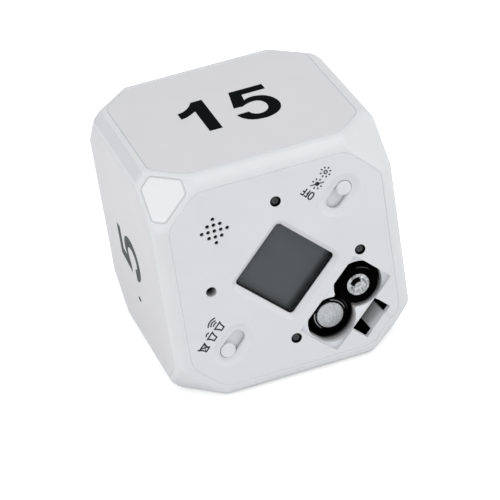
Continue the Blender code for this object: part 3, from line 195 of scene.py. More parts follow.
def pit_steps(far, rim, near=0.0, segments=5, turn=math.pi / 2):
    """A pit whose rim is rounded over through a turn, from above the face to its floor."""
    wide = rim * math.sin(turn)
    steps = [(wide, near - OVER), (wide, near - rim * 0.02)]
    for index in range(1, segments + 1):
        angle = turn * index / segments
        steps.append((wide - rim * math.sin(angle), near + rim * (1 - math.cos(angle))))
    steps.append((0, far))
    return steps


def slab_steps(near, far, rim, segments=4, foot=0.0, turn=math.pi / 2):
    """A slab whose top edge is rounded over through a turn, with a bevelled foot if it has one."""
    steps = []
    for index in range(segments + 1):
        angle = turn * index / segments
        steps.append((rim * (math.sin(angle) - math.sin(turn)), near + rim * (1 - math.cos(angle))))
    if foot:
        return steps + [(0, far - foot), (-foot, far)]
    return steps + [(0, far)]


# Solids

def new_object(name, bm, place=None):
    bmesh.ops.recalc_face_normals(bm, faces=bm.faces)
    mesh = bpy.data.meshes.new(name)
    bm.to_mesh(mesh)
    bm.free()
    made = bpy.data.objects.new(name, mesh)
    bpy.context.scene.collection.objects.link(made)
    if place is not None:
        made.matrix_world = place
        bpy.context.view_layer.update()
    return made


def strip(bm, upper, lower):
    """The faces between two rings, either of which may be a single point."""
    sides = max(len(upper), len(lower))
    for index in range(sides):
        following = (index + 1) % sides
        corners = ((upper, index), (lower, index), (lower, following), (upper, following))
        bm.faces.new(tuple(dict.fromkeys(ring[turn % len(ring)] for ring, turn in corners)))


def lofted(name, parts):
    """One object from (outline, steps, place) parts that don't touch each other."""
    bm = bmesh.new()
    for outline, steps, place in parts:
        rings = []
        for offset, depth in steps:
            rings.append([bm.verts.new(place @ Vector((x, y, -depth))) for x, y in grown(outline, offset)])
        for upper, lower in zip(rings, rings[1:]):
            strip(bm, upper, lower)
        bm.faces.new(rings[0])
        bm.faces.new(rings[-1][::-1])
    return new_object(name, bm)


def solid(name, outline, steps, place=DIAGONAL):
    return lofted(name, [(outline, steps, place)])


def rods(radius, steps, places, face=FRONT, sides=32):
    """Round parts of one size at several places of a face."""
    return [(circle(radius, place, sides), steps, face) for place in places]


def turned(name, profile, place, sides=96, closed=False):
    """A solid turned about its own axis from (radius, depth) points, or a ring from a closed section."""
    bm = bmesh.new()
    rings = []
    for radius, depth in profile:
        ring = round_points((0, 0), radius, angles(sides) if radius else (0,))
        rings.append([bm.verts.new((x, y, -depth)) for x, y in ring])
    if closed:
        rings.append(rings[0])
    for upper, lower in zip(rings, rings[1:]):
        strip(bm, upper, lower)
    return new_object(name, bm, place)


def combine(target, other, operation="DIFFERENCE"):
    """Cut other from target, or join it on, and leave only target."""
    modifier = target.modifiers.new("combine", "BOOLEAN")
    modifier.operation = operation
    modifier.solver = "EXACT"
    modifier.object = other
    bpy.context.view_layer.update()
    evaluated = target.evaluated_get(bpy.context.evaluated_depsgraph_get())
    mesh = bpy.data.meshes.new_from_object(evaluated)
    target.modifiers.clear()
    used = (target.data, other.data)
    target.data = mesh
    bpy.data.objects.remove(other)
    for old in used:
        bpy.data.meshes.remove(old)


def carve(target, parts, operation="DIFFERENCE"):
    """Cut lofted parts from target, or join them on."""
    combine(target, lofted("tool", parts), operation)


def cut(target, outline, steps, place=DIAGONAL):
    carve(target, [(outline, steps, place)])


def join(target, outline, steps, place=DIAGONAL):
    carve(target, [(outline, steps, place)], "UNION")


def dress(made, finish, angle, replaced=(), body="case"):
    """Shade, colour and mount a piece."""
    mesh = made.data
    mesh.materials.clear()
    mesh.materials.append(finish)
    for face in mesh.polygons:
        face.material_index = 0
    mesh.shade_smooth()
    mesh.set_sharp_from_angle(angle=math.radians(angle))
    weighted = made.modifiers.new("even_shading", "WEIGHTED_NORMAL")
    weighted.keep_sharp = True
    weighted.weight = 100
    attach(made, body)
    if replaced:
        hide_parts(*replaced)


def inlay(made, finish, chosen, place=DIAGONAL):
    """Another finish for the faces chosen by where their centres are: across, along and depth."""
    back = place.inverted()
    made.data.materials.append(finish)
    last = len(made.data.materials) - 1
    for face in made.data.polygons:
        across, along, height = back @ face.center
        if chosen(across, along, -height):
            face.material_index = last


# Materials

GRAIN = 0.0000025


def linear(red, green, blue):
    """A colour of the screen, in steps of 255, as a shader takes it."""
    channels = []
    for value in (red, green, blue):
        share = value / 255
        channels.append(share / 12.92 if share <= 0.04045 else ((share + 0.055) / 1.055) ** 2.4)
    return (*channels, 1.0)


def grey(share):
    return (share, share, share, 1)


def feed(tree, node, inputs):
    """Link each input to its socket, or set it to its value."""
    for name, value in inputs.items():
        if isinstance(value, bpy.types.NodeSocket):
            tree.links.new(value, node.inputs[name])
        else:
            node.inputs[name].default_value = value


def add_node(tree, kind, inputs=(), **settings):
    made = tree.nodes.new(f"ShaderNode{kind}")
    for name, value in settings.items():
        setattr(made, name, value)
    feed(tree, made, dict(inputs))
    return made


class Finish:
    """A material built round one Principled shader, with object coordinates in millimetres."""

    def __init__(self, name):
        self.made = bpy.data.materials.new(name)
        self.made.use_nodes = True
        self.tree = self.made.node_tree
        place = self.node("TexCoord", {}).outputs["Object"]
        self.place = self.node("VectorMath", {0: place, "Scale": 1000}, operation="SCALE").outputs[0]

    def node(self, kind, inputs, **settings):
        return add_node(self.tree, kind, inputs, **settings)

    def surface(self, colour, gloss, dents=None, **values):
        """Colour, roughness as (factor, low, high), relief as (factor, height), and other inputs by name."""
        values.update(Base_Color=colour, Roughness=self.spread(*gloss))
        if dents is not None:
            bump = self.node("Bump", {"Height": dents[0], "Distance": dents[1]})
            values["Normal"] = bump.outputs["Normal"]
        inputs = {name.replace("_", " "): value for name, value in values.items()}
        feed(self.tree, self.tree.nodes["Principled BSDF"], inputs)
        return self.made

    def noise(self, scale, detail=3.0, roughness=0.55, stretch=None):
        source = self.place
        if stretch is not None:
            source = self.node("Mapping", {"Vector": source, "Scale": stretch}).outputs["Vector"]
        inputs = {"Vector": source, "Scale": scale, "Detail": detail, "Roughness": roughness}
        return self.node("TexNoise", inputs).outputs["Fac"]

    def ramp(self, factor, *stops):
        ramp = self.node("ValToRGB", {"Fac": factor})
        elements = ramp.color_ramp.elements
        while len(elements) < len(stops):
            elements.new(0.5)
        for element, (position, colour) in zip(elements, stops):
            element.position = position
            element.color = colour
        return ramp.outputs["Color"]

    def cloud(self, factor, low, high):
        """A colour that drifts between two."""
        return self.ramp(factor, (0.3, low), (0.7, high))

    def spread(self, factor, low, high, from_low=0.3, from_high=0.7):
        source = {"Value": factor, "From Min": from_low, "From Max": from_high}
        return self.node("MapRange", {**source, "To Min": low, "To Max": high}).outputs["Result"]

    def maths(self, operation, first, second):
        return self.node("Math", {0: first, 1: second}, operation=operation).outputs[0]

    def radius(self):
        """Distance in millimetres from the piece's own axis."""
        flat = self.node("VectorMath", {0: self.place, 1: (1, 1, 0)}, operation="MULTIPLY").outputs[0]
        return self.node("VectorMath", {0: flat}, operation="LENGTH").outputs["Value"]

    def depth(self):
        """Depth in millimetres behind the control face, for a piece drawn about the object's origin."""
        return self.maths("ADD", self.node("SeparateXYZ", {0: self.place}).outputs["Y"], HALF * 1000)

    def sector(self, turn, half, near, far, soft=0.12):
        """1 inside a part of a ring about the piece's own axis, with soft ends, and 0 elsewhere."""
        radius = self.radius()
        axis = (math.cos(math.radians(turn)), math.sin(math.radians(turn)), 0)
        along = self.node("VectorMath", {0: self.place, 1: axis}, operation="DOT_PRODUCT").outputs["Value"]
        limit = math.cos(math.radians(half))
        side = self.spread(self.maths("DIVIDE", along, radius), 0, 1, limit - 0.05, limit + 0.05)
        inner = self.spread(radius, 0, 1, near - soft, near)
        outer = self.spread(radius, 1, 0, far, far + soft)
        return self.maths("MULTIPLY", side, self.maths("MULTIPLY", inner, outer))

    def blended(self, first, second, share):
        """The first colour where the share is 0, and the second where it is 1."""
        inputs = {"Factor": share, "A": first, "B": second}
        return self.node("Mix", inputs, data_type="RGBA").outputs["Result"]

    def tinted(self, first, second):
        """Two colours multiplied."""
        inputs = {"Factor": 1.0, "A": first, "B": second}
        return self.node("Mix", inputs, data_type="RGBA", blend_type="MULTIPLY").outputs["Result"]


def moulded(name, colour, roughness=0.42, tint=0.012, scale=2.2, specular=0.5):
    """Moulded plastic: a fine satin grain, and a faint unevenness of colour and gloss."""
    finish = Finish(name)
    channels = linear(*colour)[:3]
    low = (*(value * (1 - tint) for value in channels), 1)
    high = (*(min(1, value * (1 + tint)) for value in channels), 1)
    cloud = finish.cloud(finish.noise(0.09, 2.0), low, high)
    grain = finish.noise(scale, 4.0, 0.6)
    gloss = (grain, roughness - 0.05, roughness + 0.05)
    return finish.surface(cloud, gloss, (grain, GRAIN), IOR=1.46, Specular_IOR_Level=specular)


housing_white = moulded("moulded_housing_white", (219, 221, 223), specular=0.35)
# Painted shade: a near black for the inside of the housing, where shade falls
housing_inner_shade = moulded("painted_shade_housing_inner", (22, 22, 23), roughness=0.7, specular=0.05)
# Painted shade: a greyer white for the upper left bevel, darker than the faces beside it because of how light
# falls there
bevel_shaded_white = moulded("painted_shade_bevel_white", (212, 213, 217), specular=0.35)
cover_white = moulded("moulded_cover_white", (219, 220, 223))
cover_groove = moulded("moulded_cover_groove", (219, 220, 223))
# Painted light: a lighter white for the bay floor, lifting it out of the shade of its recess
bay_lightened_white = moulded("painted_light_bay_white", (227, 230, 235))
plate_white = moulded("moulded_plate_white", (217, 217, 220), roughness=0.46)
# Painted shade: a greyer white for the rounded rims round the plates, as shade in their grooves
plate_groove_shade = moulded("painted_groove_shade_grey", (212, 213, 216))
knob_white = moulded("moulded_knob_white", (220, 222, 225), roughness=0.38, scale=3.5)
lens_white = moulded("moulded_lens_white", (228, 229, 231), roughness=0.35, scale=1.4)
# Painted shade: a greyer white for the rounded rim of the lens, as shade in its groove
lens_groove_shade = moulded("painted_groove_shade_lens", (207, 209, 211))
print_black = moulded("printed_number_black", (12, 14, 16), 0.5, tint=0.05, scale=5, specular=0.01)
print_worn = moulded("printed_number_worn", (88, 93, 93), 0.5, tint=0.05, scale=5, specular=0.02)
print_grey = moulded("printed_symbol_grey", (48, 51, 54), 0.5, tint=0.05, scale=8, specular=0.1)
frame_black = moulded("display_frame_black", (6, 6, 7), roughness=0.6, scale=3, specular=0.03)
strip_grey = moulded("connector_rubber_grey", (110, 110, 112), roughness=0.75, tint=0.05)
chip_black = moulded("chip_moulding_black", (28, 28, 30), roughness=0.55, scale=6)
lever_black = moulded("lever_nylon_black", (24, 24, 25), roughness=0.5, scale=4)
basket_black = moulded("speaker_basket_black", (22, 23, 24), roughness=0.55, scale=4)
film_tan = moulded("speaker_film", (150, 142, 126), roughness=0.35, tint=0.04)
can_blue = moulded("capacitor_sleeve_blue", (34, 44, 84), roughness=0.35, tint=0.03)
lamp_red = moulded("signal_lamp_red", (222, 120, 112), roughness=0.2, tint=0.02)
lead_red = moulded("lead_red", (176, 28, 26), roughness=0.45, tint=0.04)
lead_black = moulded("lead_black", (26, 26, 28), roughness=0.45, tint=0.04)


def shaded(name, near, far, levels, specular):
    """Moulded plastic with painted shade: its grey falls off by levels, in millimetres behind the control
    face.
    """
    finish = Finish(name)
    stops = []
    for depth, level in levels:
        stops.append(((depth - near) / (far - near), linear(level, level, min(255, level + 2))))
    fall = finish.ramp(finish.spread(finish.depth(), 0, 1, near, far), *stops)
    colour = finish.tinted(fall, finish.cloud(finish.noise(0.4, 2.0), grey(0.95), grey(1)))
    grain = finish.noise(2.2, 4.0, 0.6)
    return finish.surface(colour, (grain, 0.45, 0.55), (grain, GRAIN), Specular_IOR_Level=specular)


# Painted shade: greys by depth in millimetres for the walls of the holes, the speaker, the pocket and the
# wells, darker deeper down
HOLE_LEVELS = ((0.04, 190), (0.15, 40), (0.5, 3))
SPEAKER_LEVELS = ((0.05, 222), (0.35, 196), (0.7, 110), (1.2, 20))
DEEP_LEVELS = ((0.4, 219), (0.9, 210), (1.35, 190), (1.8, 172), (2.25, 156), (2.8, 144), (3.3, 96))
POCKET_LEVELS = ((1.4, 219), (1.7, 100), (2.0, 4))
WELL_LEVELS = (
    (1.4, 225), (2.2, 214), (2.9, 200), (3.3, 184), (3.7, 158), (4.1, 124), (4.5, 84), (5.0, 36), (5.5, 4),
)

hole_shade = shaded("hole_wall_shade", 0, 0.5, HOLE_LEVELS, 0.02)
speaker_shade = shaded("speaker_wall_shade", 0, 1.5, SPEAKER_LEVELS, 0.02)
deep_shade = shaded("deep_wall_shade", 0, 4, DEEP_LEVELS, 0.05)
pocket_shade = shaded("pocket_wall_shade", 0, 3, POCKET_LEVELS, 0.1)
well_shade = shaded("well_wall_shade", 1.4, 5.5, WELL_LEVELS, 0.1)
# Painted shade: the holder takes the wells' greys by depth, falling to black deeper down
holder_shade = shaded("painted_shade_holder", 1.4, 5.5, WELL_LEVELS, 0.01)


def board_material():
    """Green solder resist over copper tracks that show as faint ridges."""
    finish = Finish("board_solder_resist")
    tracks = finish.noise(0.5, 1.0, 0.3, (1, 1, 3.0))
    green = finish.ramp(tracks, (0.46, (0.010, 0.090, 0.030, 1)), (0.52, (0.018, 0.150, 0.050, 1)))
    return finish.surface(green, (finish.noise(6.0), 0.32, 0.45), (tracks, 0.00002))


def metal(name, colour, roughness, scale, stretch):
    """Metal with drawn or brushed lines."""
    finish = Finish(name)
    lines = finish.noise(scale, 4.0, 0.6, stretch)
    bright = linear(*colour)
    drawn_lines = finish.cloud(lines, (*(value * 0.86 for value in bright[:3]), 1), bright)
    gloss = (lines, roughness - 0.08, roughness + 0.08)
    return finish.surface(drawn_lines, gloss, (lines, 0.000002), Metallic=1.0)


screw_zinc = metal("screw_zinc", (200, 200, 202), 0.35, 2.0, (1, 1, 1))
switch_steel = metal("switch_shell_steel", (206, 208, 210), 0.3, 1.0, (1, 10, 1))
contact_nickel = metal("contact_nickel", (222, 220, 210), 0.28, 1.4, (6, 1, 1))
crystal_tin = metal("crystal_tin", (214, 214, 216), 0.24, 1.2, (1, 8, 1))
magnet_nickel = metal("magnet_nickel", (196, 196, 198), 0.35, 1.2, (1, 1, 1))


def nose_material():
    """The steel nose of a cell, mottled on its button, with a painted dark reflection in a crescent beside
    it.
    """
    finish = Finish("cell_nose_steel")
    mottle = ((0.34, linear(120, 122, 124)), (0.5, linear(196, 198, 200)), (0.66, linear(226, 228, 230)))
    cloud = finish.ramp(finish.noise(1.3, 3.0, 0.6), *mottle)
    # Painted reflection: a dark crescent on one side of the button
    colour = finish.blended(cloud, linear(12, 12, 12), finish.sector(73, 44, 1.45, 2.15))
    gloss = (finish.noise(2.0), 0.24, 0.42)
    return finish.surface(colour, gloss, (finish.noise(1.0), 0.000015), Metallic=1.0)


def tail_material():
    """The rolled rim at a cell's tail, near black, with painted highlights in two bright arcs."""
    finish = Finish("cell_tail_steel")
    rim = finish.cloud(finish.noise(1.0, 2.0), linear(5, 5, 5), linear(12, 12, 12))
    # Painted highlights: two bright arcs on the rim
    for turn, half, near in ((0, 34, 4.14), (-150, 32, 4.12)):
        rim = finish.blended(rim, linear(226, 228, 230), finish.sector(turn, half, near, 4.30))
    return finish.surface(rim, (finish.noise(2.0), 0.3, 0.45), (finish.noise(1.0), 0.00001), Metallic=1.0)


def sleeve_material():
    """Black film shrunk over a cell, with one painted highlight on its shoulder."""
    finish = Finish("cell_sleeve_black")
    film = finish.cloud(finish.noise(0.6, 2.0), linear(1, 1, 2), linear(3, 3, 4))
    # Painted highlight: a grey arc on the sleeve's shoulder
    colour = finish.blended(film, linear(74, 74, 76), finish.sector(24, 17, 4.85, 5.0))
    dents = (finish.noise(0.6, 4.0, 0.6), 0.000003)
    return finish.surface(colour, (finish.noise(1.0), 0.2, 0.3), dents, Specular_IOR_Level=0.01)


def cap_material():
    """The blasted steel disc at a cell's tail."""
    finish = Finish("cell_cap_steel")
    mottle = ((0.36, linear(196, 199, 202)), (0.5, linear(208, 211, 213)), (0.64, linear(222, 225, 227)))
    cloud = finish.ramp(finish.noise(1.6, 4.0, 0.65), *mottle)
    gloss = (finish.noise(2.4), 0.48, 0.62)
    return finish.surface(cloud, gloss, (finish.noise(1.4, 4.0), 0.00002), Metallic=1.0)


def screw_material():
    """Blackened steel: a grey head with painted shade that falls into black at its rim."""
    finish = Finish("screw_black_oxide")
    # Painted shade: the head darkens to black towards its rim
    rim = finish.spread(finish.radius(), 0, 1, 0.60, 1.05)
    fall = finish.ramp(rim, (0.0, linear(92, 93, 95)), (1.0, linear(7, 7, 8)))
    colour = finish.tinted(fall, finish.cloud(finish.noise(2.5), grey(0.7), grey(1)))
    gloss = (finish.noise(6.0), 0.38, 0.5)
    return finish.surface(colour, gloss, (finish.noise(9.0), 0.000004), Specular_IOR_Level=0.12)


# Painted light and shade on the panel: its shares of its full grey, by millimetres along its two diagonals
# from its centre
PANEL_SHADE_RISE = (-9.35, -7.35)
PANEL_LOW, PANEL_HIGH = -9.8, 9.6
PANEL_LIGHT_AND_SHADE = (
    (-9.8, 0.02), (-9.45, 0.08), (-9.2, 0.40), (-8.7, 0.68), (-7.5, 0.82), (0, 0.745), (6, 0.80), (8.2, 0.95),
    (9.6, 1.09),
)


def panel_material():
    """The unlit display: a dark grey film with painted shade falling into black along the two near edges, and
    painted light and shade across it.
    """
    finish = Finish("display_panel_grey")
    middle = {0: finish.place, 1: (0, 0, HALF * 1000)}
    shifted = finish.node("VectorMath", middle, operation="SUBTRACT").outputs[0]
    turn = finish.node("Mapping", {"Vector": shifted, "Rotation": (0, math.radians(45), 0)})
    parts = finish.node("SeparateXYZ", {0: turn.outputs[0]}).outputs
    # Painted shade along the near edges
    near_edge_shade = finish.ramp(
        finish.spread(parts["Z"], 0, 1, *PANEL_SHADE_RISE), (0.0, grey(0.02)), (0.1, grey(0.06)), (0.95, grey(1))
    )
    # Painted light and shade across the panel: darker at its low edge and lighter towards its far edges
    stops = [((place - PANEL_LOW) / (PANEL_HIGH - PANEL_LOW), grey(share)) for place, share in PANEL_LIGHT_AND_SHADE]
    across_light_and_shade = finish.ramp(finish.spread(parts["X"], 0, 1, PANEL_LOW, PANEL_HIGH), *stops)
    cloud = finish.cloud(finish.noise(0.15, 2.0), (0.163, 0.180, 0.188, 1), (0.168, 0.185, 0.193, 1))
    colour = finish.tinted(finish.tinted(cloud, near_edge_shade), across_light_and_shade)
    return finish.surface(colour, (finish.noise(0.4, 2.0), 0.45, 0.55), Specular_IOR_Level=0.1)


def pane_material():
    """The clear window, lightly matted."""
    finish = Finish("display_window_clear")
    finish.made.blend_method = "BLEND"
    gloss = (finish.noise(0.4, 2.0), 0.12, 0.18)
    return finish.surface((0.09, 0.10, 0.10, 1), gloss, Alpha=0.12, IOR=1.3, Specular_IOR_Level=0.1)


# Housing

SCREW_REACH = 0.01985
SCREW_PLACES = ((SCREW_REACH, 0), (0, SCREW_REACH), (0, -SCREW_REACH), (-SCREW_REACH, 0))
SCREW_NAMES = ("right_cover_screw", "top_cover_screw", "bottom_cover_screw", "left_cover_screw")
SCREW_DEPTHS = (0.0005, 0.0005, 0.0005, 0.0032)
POST_RADIUS = 0.0030
POST_NEAR = 0.0073
PILOT_RADIUS = 0.0010
PILOT_SPAN = (0.0070, 0.0156)
BAY_HALF = 0.0120
BAY_FAR = 0.0262
BAY_NEAR = 0.0137
BAY_DEPTH = 0.0014
BAY_BACK = 0.0029
BAY_WALL = 0.0008
BLOCK_GAP = 0.0003
NOTCH_NEAR = 0.0013
LENS_REACHES = (0.004898, 0.006404)
LENS_ROUND = 0.0014
LENS_SEAT = 0.0011
LENS_RIM = 0.00060
LAMP_HOLE = 0.0030
LAMP_HOLE_SPAN = (0.0005, 0.0028)
FRONT_WALL = 0.0022


def faceted_cube(half, corner_sum, edge_sum=None, edge_round=0.0):
    """A cube with its corners cut off, and its edges too where their sum is given."""
    bm = bmesh.new()
    bmesh.ops.create_cube(bm, size=2 * half)
    planes = []
    if edge_sum is not None:
        for first, second in itertools.combinations(range(3), 2):
            for signs in itertools.product((-1, 1), repeat=2):
                normal = Vector((0, 0, 0))
                normal[first], normal[second] = signs
                planes.append((normal, edge_sum / 2))
    for signs in itertools.product((-1, 1), repeat=3):
        planes.append((Vector(signs), corner_sum / 3))
    for normal, share in planes:
        everything = bm.verts[:] + bm.edges[:] + bm.faces[:]
        sliced = bmesh.ops.bisect_plane(
            bm, geom=everything, plane_co=normal * share, plane_no=normal, clear_outer=True
        )
        rim = [item for item in sliced["geom_cut"] if isinstance(item, bmesh.types.BMEdge)]
        bmesh.ops.edgeloop_fill(bm, edges=rim)
    if edge_round:
        bmesh.ops.bevel(
            bm, geom=bm.edges[:], offset=edge_round, offset_type="OFFSET", segments=6,
            profile=0.5, affect="EDGES", clamp_overlap=True,
        )
    bmesh.ops.transform(bm, matrix=CENTRE, verts=bm.verts[:])
    return bm


def bay_back_outline(margin):
    """The block behind the bay, with its outer corners kept inside the cover's edges."""
    half = BAY_HALF + BAY_WALL + margin
    far = BAY_FAR + BAY_WALL + margin
    near = BAY_NEAR - BAY_WALL - margin
    reach = (COVER_HALF - BLOCK_GAP + margin) * ROOT_TWO
    return [
        (reach - far, -far), (half, half - reach), (half, -near),
        (-half, -near), (-half, half - reach), (far - reach, -far),
    ]


def lens_outline(margin=0.0):
    """The six-sided lens, whose long and short sides lie in turn at two reaches."""
    corners = []
    for index in range(6):
        first, second = index * math.pi / 3, (index + 1) * math.pi / 3
        near, far = (LENS_REACHES[(index + step) % 2] + margin for step in (0, 1))
        x = (near * math.sin(second) - far * math.sin(first)) / math.sin(second - first)
        y = (far * math.cos(first) - near * math.cos(second)) / math.sin(second - first)
        corners.append((x, y))
    return rounded(corners, LENS_ROUND, 5)


def shade_rim(made, place, finish, chosen=lambda across, along: True):
    """A groove finish on the rounded rim of a piece that is let into the surface; where it is greyer than the
    piece, it is painted shade in the groove.
    """
    def on_rim(across, along, depth):
        return SUNK + HAIR < depth < OVER and chosen(across, along)

    inlay(made, finish, on_rim, place)


def build_housing():
    housing = new_object("housing_shell", faceted_cube(HALF, CORNER_SUM, EDGE_SUM, EDGE_ROUND))
    combine(housing, new_object("cavity", faceted_cube(HALF - SHELL, CAVITY_SUM)))
    post = straight(POST_NEAR, 2 * HALF - SHELL + INTO / 2)
    carve(housing, rods(POST_RADIUS, post, SCREW_PLACES), "UNION")
    seat = octagon(COVER_HALF, COVER_SUM, GAP_FILL + SEAM)
    openings = [(seat, pit_steps(BEHIND_COVER, RIM_ROUND, turn=RIM_TURN), FRONT)]
    seat = octagon(PLATE_HALF, PLATE_SUM, GAP_FILL + SEAM)
    for place in (REAR, LEFT, RIGHT, TOP, BOTTOM):
        openings.append((seat, pit_steps(PLATE_SEAT, RIM_ROUND, turn=RIM_TURN), place))
    carve(housing, openings)
    cut(housing, octagon(LEDGE_HALF, LEDGE_SUM, radius=LEDGE_ROUND), straight(0, SHELL + INTO), FRONT)
    cut(housing, bay_back_outline(BLOCK_GAP), straight(NOTCH_NEAR, SHELL + INTO))
    cut(housing, lens_outline(SEAM), pit_steps(LENS_SEAT, LENS_RIM, turn=RIM_TURN), LENS)
    cut(housing, circle(LAMP_HOLE), straight(*LAMP_HOLE_SPAN), LENS)
    carve(housing, rods(PILOT_RADIUS, straight(*PILOT_SPAN), SCREW_PLACES))
    dress(housing, housing_white, 28, ("housing",))

    def inside(across, along, depth):
        parts = (abs(across), abs(along), abs(depth))
        deep = max(parts) < HALF - SHELL + TENTH and sum(parts) < CAVITY_SUM + 2 * TENTH
        return deep and along > FRONT_WALL - HALF

    def on_upper_left_bevel(across, along, depth):
        return -depth - across > EDGE_SUM - 4 * TENTH

    # Painted shade: the faces inside the cavity take the near black finish
    inlay(housing, housing_inner_shade, inside, CENTRE)
    # Painted shade: the upper left bevel takes the greyer white
    inlay(housing, bevel_shaded_white, on_upper_left_bevel, CENTRE)


def build_plates():
    plates = (
        ("top_number_plate", TOP), ("bottom_number_plate", BOTTOM), ("left_number_plate", LEFT),
        ("right_number_plate", RIGHT), ("rear_plate", REAR),
    )
    steps = slab_steps(SUNK, PLATE_THICKNESS, RIM_ROUND, turn=RIM_TURN)
    for name, place in plates:
        made = solid(f"{name}_shell", octagon(PLATE_HALF, PLATE_SUM, GAP_FILL), steps, place)
        dress(made, plate_white, 50, (name,))
        shade_rim(made, place, plate_groove_shade)


# Front cover: what stands behind it

COVER_ROOT = COVER_THICKNESS - 4 * TENTH
COVER_POST_FAR = 0.0070
BOSS_PLACES = tuple(itertools.product((-0.0219, 0.0219), (-0.0092, 0.0092)))
BOSS_RADIUS = 0.0024
BOSS_FAR = 0.0094
BOSS_BORE_SPAN = (0.0063, 0.0104)
SPEAKER_REACH = 0.0233
COLLAR_RADIUS = 0.0086
COLLAR_BORE = 0.0078
COLLAR_FAR = 0.0042
SLIDE_REACH = 0.02341
SLIDE_TRAVEL = 0.0041
GUIDE_REACH = 0.0033
GUIDE_LONG = 0.0078
GUIDE_WIDE = 0.0004
GUIDE_FAR = 0.0032

# Front cover: what is let into it, with the window's bevel as steps of (offset, depth)
WINDOW_HALF = 0.009475
WINDOW_ROUND = 0.0011
WINDOW_SLOPE = (
    (0.00175, -OVER), (0.00155, -0.00001), (0.00140, 0.00003), (0.00125, 0.00011),
    (0.00012, 0.00108), (0.00003, 0.00120), (0, 0.00132), (0, COVER_THICKNESS + OVER),
)
FINE_RIM = 0.00012
HEAD_BORE = 0.0014
HEAD_SEAT = 0.0017
HEAD_SHADE_FAR = 0.0050
SHANK_SPAN = (0.0008, 0.0080)
SPEAKER_HOLE = 0.00052
SPEAKER_PITCH = 0.00166
SPEAKER_RIM = 0.00008
SPEAKER_SPREAD = 0.0045
SLOT_RADIUS = 0.0021
SLOT_RIM = 0.00014
DISH_EDGE = 0.0046
DISH_FALL = 0.0020
DISH_DEPTH = 0.00062
DISH_LIFT = 0.000004
BAY_ROUND = 0.0005
WELL_RADIUS = 0.0065
WELL_PLACES = (0.00575, -0.00575)
WELL_REACH = 0.0203
NECK_HALF = 0.0007
NECK_HIGH = 0.0036
POCKET_HALF = 0.00505
POCKET_NEAR = 0.0269
POCKET_FAR = 0.0313
STEP_NEAR = 0.0240
TONGUE_HALF = 0.0028
TONGUE_THICKNESS = 0.0011
TONGUE_LONG = 0.0064
TONGUE_DEPTH = 0.0003
TONGUE_LEAN = math.radians(11.5)
TONGUE_RIM = 0.00008
RELIEF_HALF = 0.0030
RELIEF_FAR = 0.0420
RELIEF_DEPTH = 0.0003
RELIEF_RIM = 0.00006


def wells_outline(margin=0.0):
    """Both wells and the neck between them as one outline, read from its centre in equal angles."""
    edge = BAY_HALF - TENTH + margin
    high = WELL_REACH - BAY_NEAR - TENTH + margin
    radius = WELL_RADIUS + margin
    points = []
    for turn in angles(240, 0.5):
        across, along = math.cos(turn), math.sin(turn)
        wells = [x * across + math.sqrt(radius ** 2 - (x * along) ** 2) for x in WELL_PLACES]
        neck = min(NECK_HALF / abs(across), (NECK_HIGH + margin) / abs(along))
        reach = min(max(*wells, neck), edge / abs(across))
        if along > 0:
            reach = min(reach, high / along)
        points.append((reach * across, reach * along - WELL_REACH))
    for _ in range(3):
        points = [tuple((before + here * 2 + after) / 4) for before, here, after in neighbours(points)]
    return points


def dish_steps(count=14):
    """A shallow dish that falls smoothly from the face to its floor."""
    edge = DISH_EDGE - SLOT_RADIUS
    steps = [(edge, -OVER), (edge, -DISH_LIFT)]
    for index in range(1, count + 1):
        share = index / count
        steps.append((edge - DISH_FALL * share, DISH_DEPTH * share * share * (3 - 2 * share)))
    return steps


def back_cover(cover):
    """The block behind the bay, and the posts, bosses, speaker collar and slide guides behind the cover."""
    join(cover, bay_back_outline(0), straight(COVER_ROOT, BAY_BACK))
    parts = rods(POST_RADIUS, straight(COVER_ROOT, COVER_POST_FAR), SCREW_PLACES)
    parts += rods(BOSS_RADIUS, straight(COVER_ROOT, BOSS_FAR), BOSS_PLACES, DIAGONAL)
    parts += rods(COLLAR_RADIUS, straight(COVER_ROOT, COLLAR_FAR), [(0, SPEAKER_REACH)], DIAGONAL, 64)
    for side, flank in itertools.product((-1, 1), repeat=2):
        outline = box(GUIDE_LONG, GUIDE_WIDE, TENTH, (side * SLIDE_REACH, flank * GUIDE_REACH))
        parts.append((outline, straight(COVER_ROOT, GUIDE_FAR), DIAGONAL))
    carve(cover, parts, "UNION")
    bore = straight(COVER_THICKNESS, COLLAR_FAR + INTO)
    parts = rods(COLLAR_BORE, bore, [(0, SPEAKER_REACH)], DIAGONAL, 64)
    carve(cover, parts + rods(PILOT_RADIUS, straight(*BOSS_BORE_SPAN), BOSS_PLACES, DIAGONAL, 24))


def pierce_cover(cover):
    """The window, the screw holes, the speaker holes and the two slots in their dishes."""
    through = COVER_THICKNESS + OVER
    cut(cover, box(WINDOW_HALF, WINDOW_HALF, WINDOW_ROUND), WINDOW_SLOPE)
    heads = []
    for place, depth in zip(SCREW_PLACES, SCREW_DEPTHS):
        heads += rods(HEAD_BORE, pit_steps(depth + HEAD_SEAT, FINE_RIM), [place], FRONT, 48)
    carve(cover, heads)
    carve(cover, rods(PILOT_RADIUS, straight(*SHANK_SPAN), SCREW_PLACES))

    speaker = moved(DIAGONAL, 0, SPEAKER_REACH, 0, -math.pi / 4)
    steps = pit_steps(through, SPEAKER_RIM, segments=3)
    holes = []
    for column, row in itertools.product(range(-2, 3), repeat=2):
        if abs(column) + abs(row) <= 2:
            holes.append((column * SPEAKER_PITCH, row * SPEAKER_PITCH))
    carve(cover, rods(SPEAKER_HOLE, steps, holes, speaker))

    for side in (-1, 1):
        run = stadium(SLOT_RADIUS, SLIDE_TRAVEL, (side * SLIDE_REACH, 0))
        cut(cover, run, dish_steps())
        slot = pit_steps(through, SLOT_RIM, near=DISH_DEPTH)
        slot[0] = (slot[0][0], DISH_DEPTH - 2 * TENTH)
        cut(cover, run, slot)


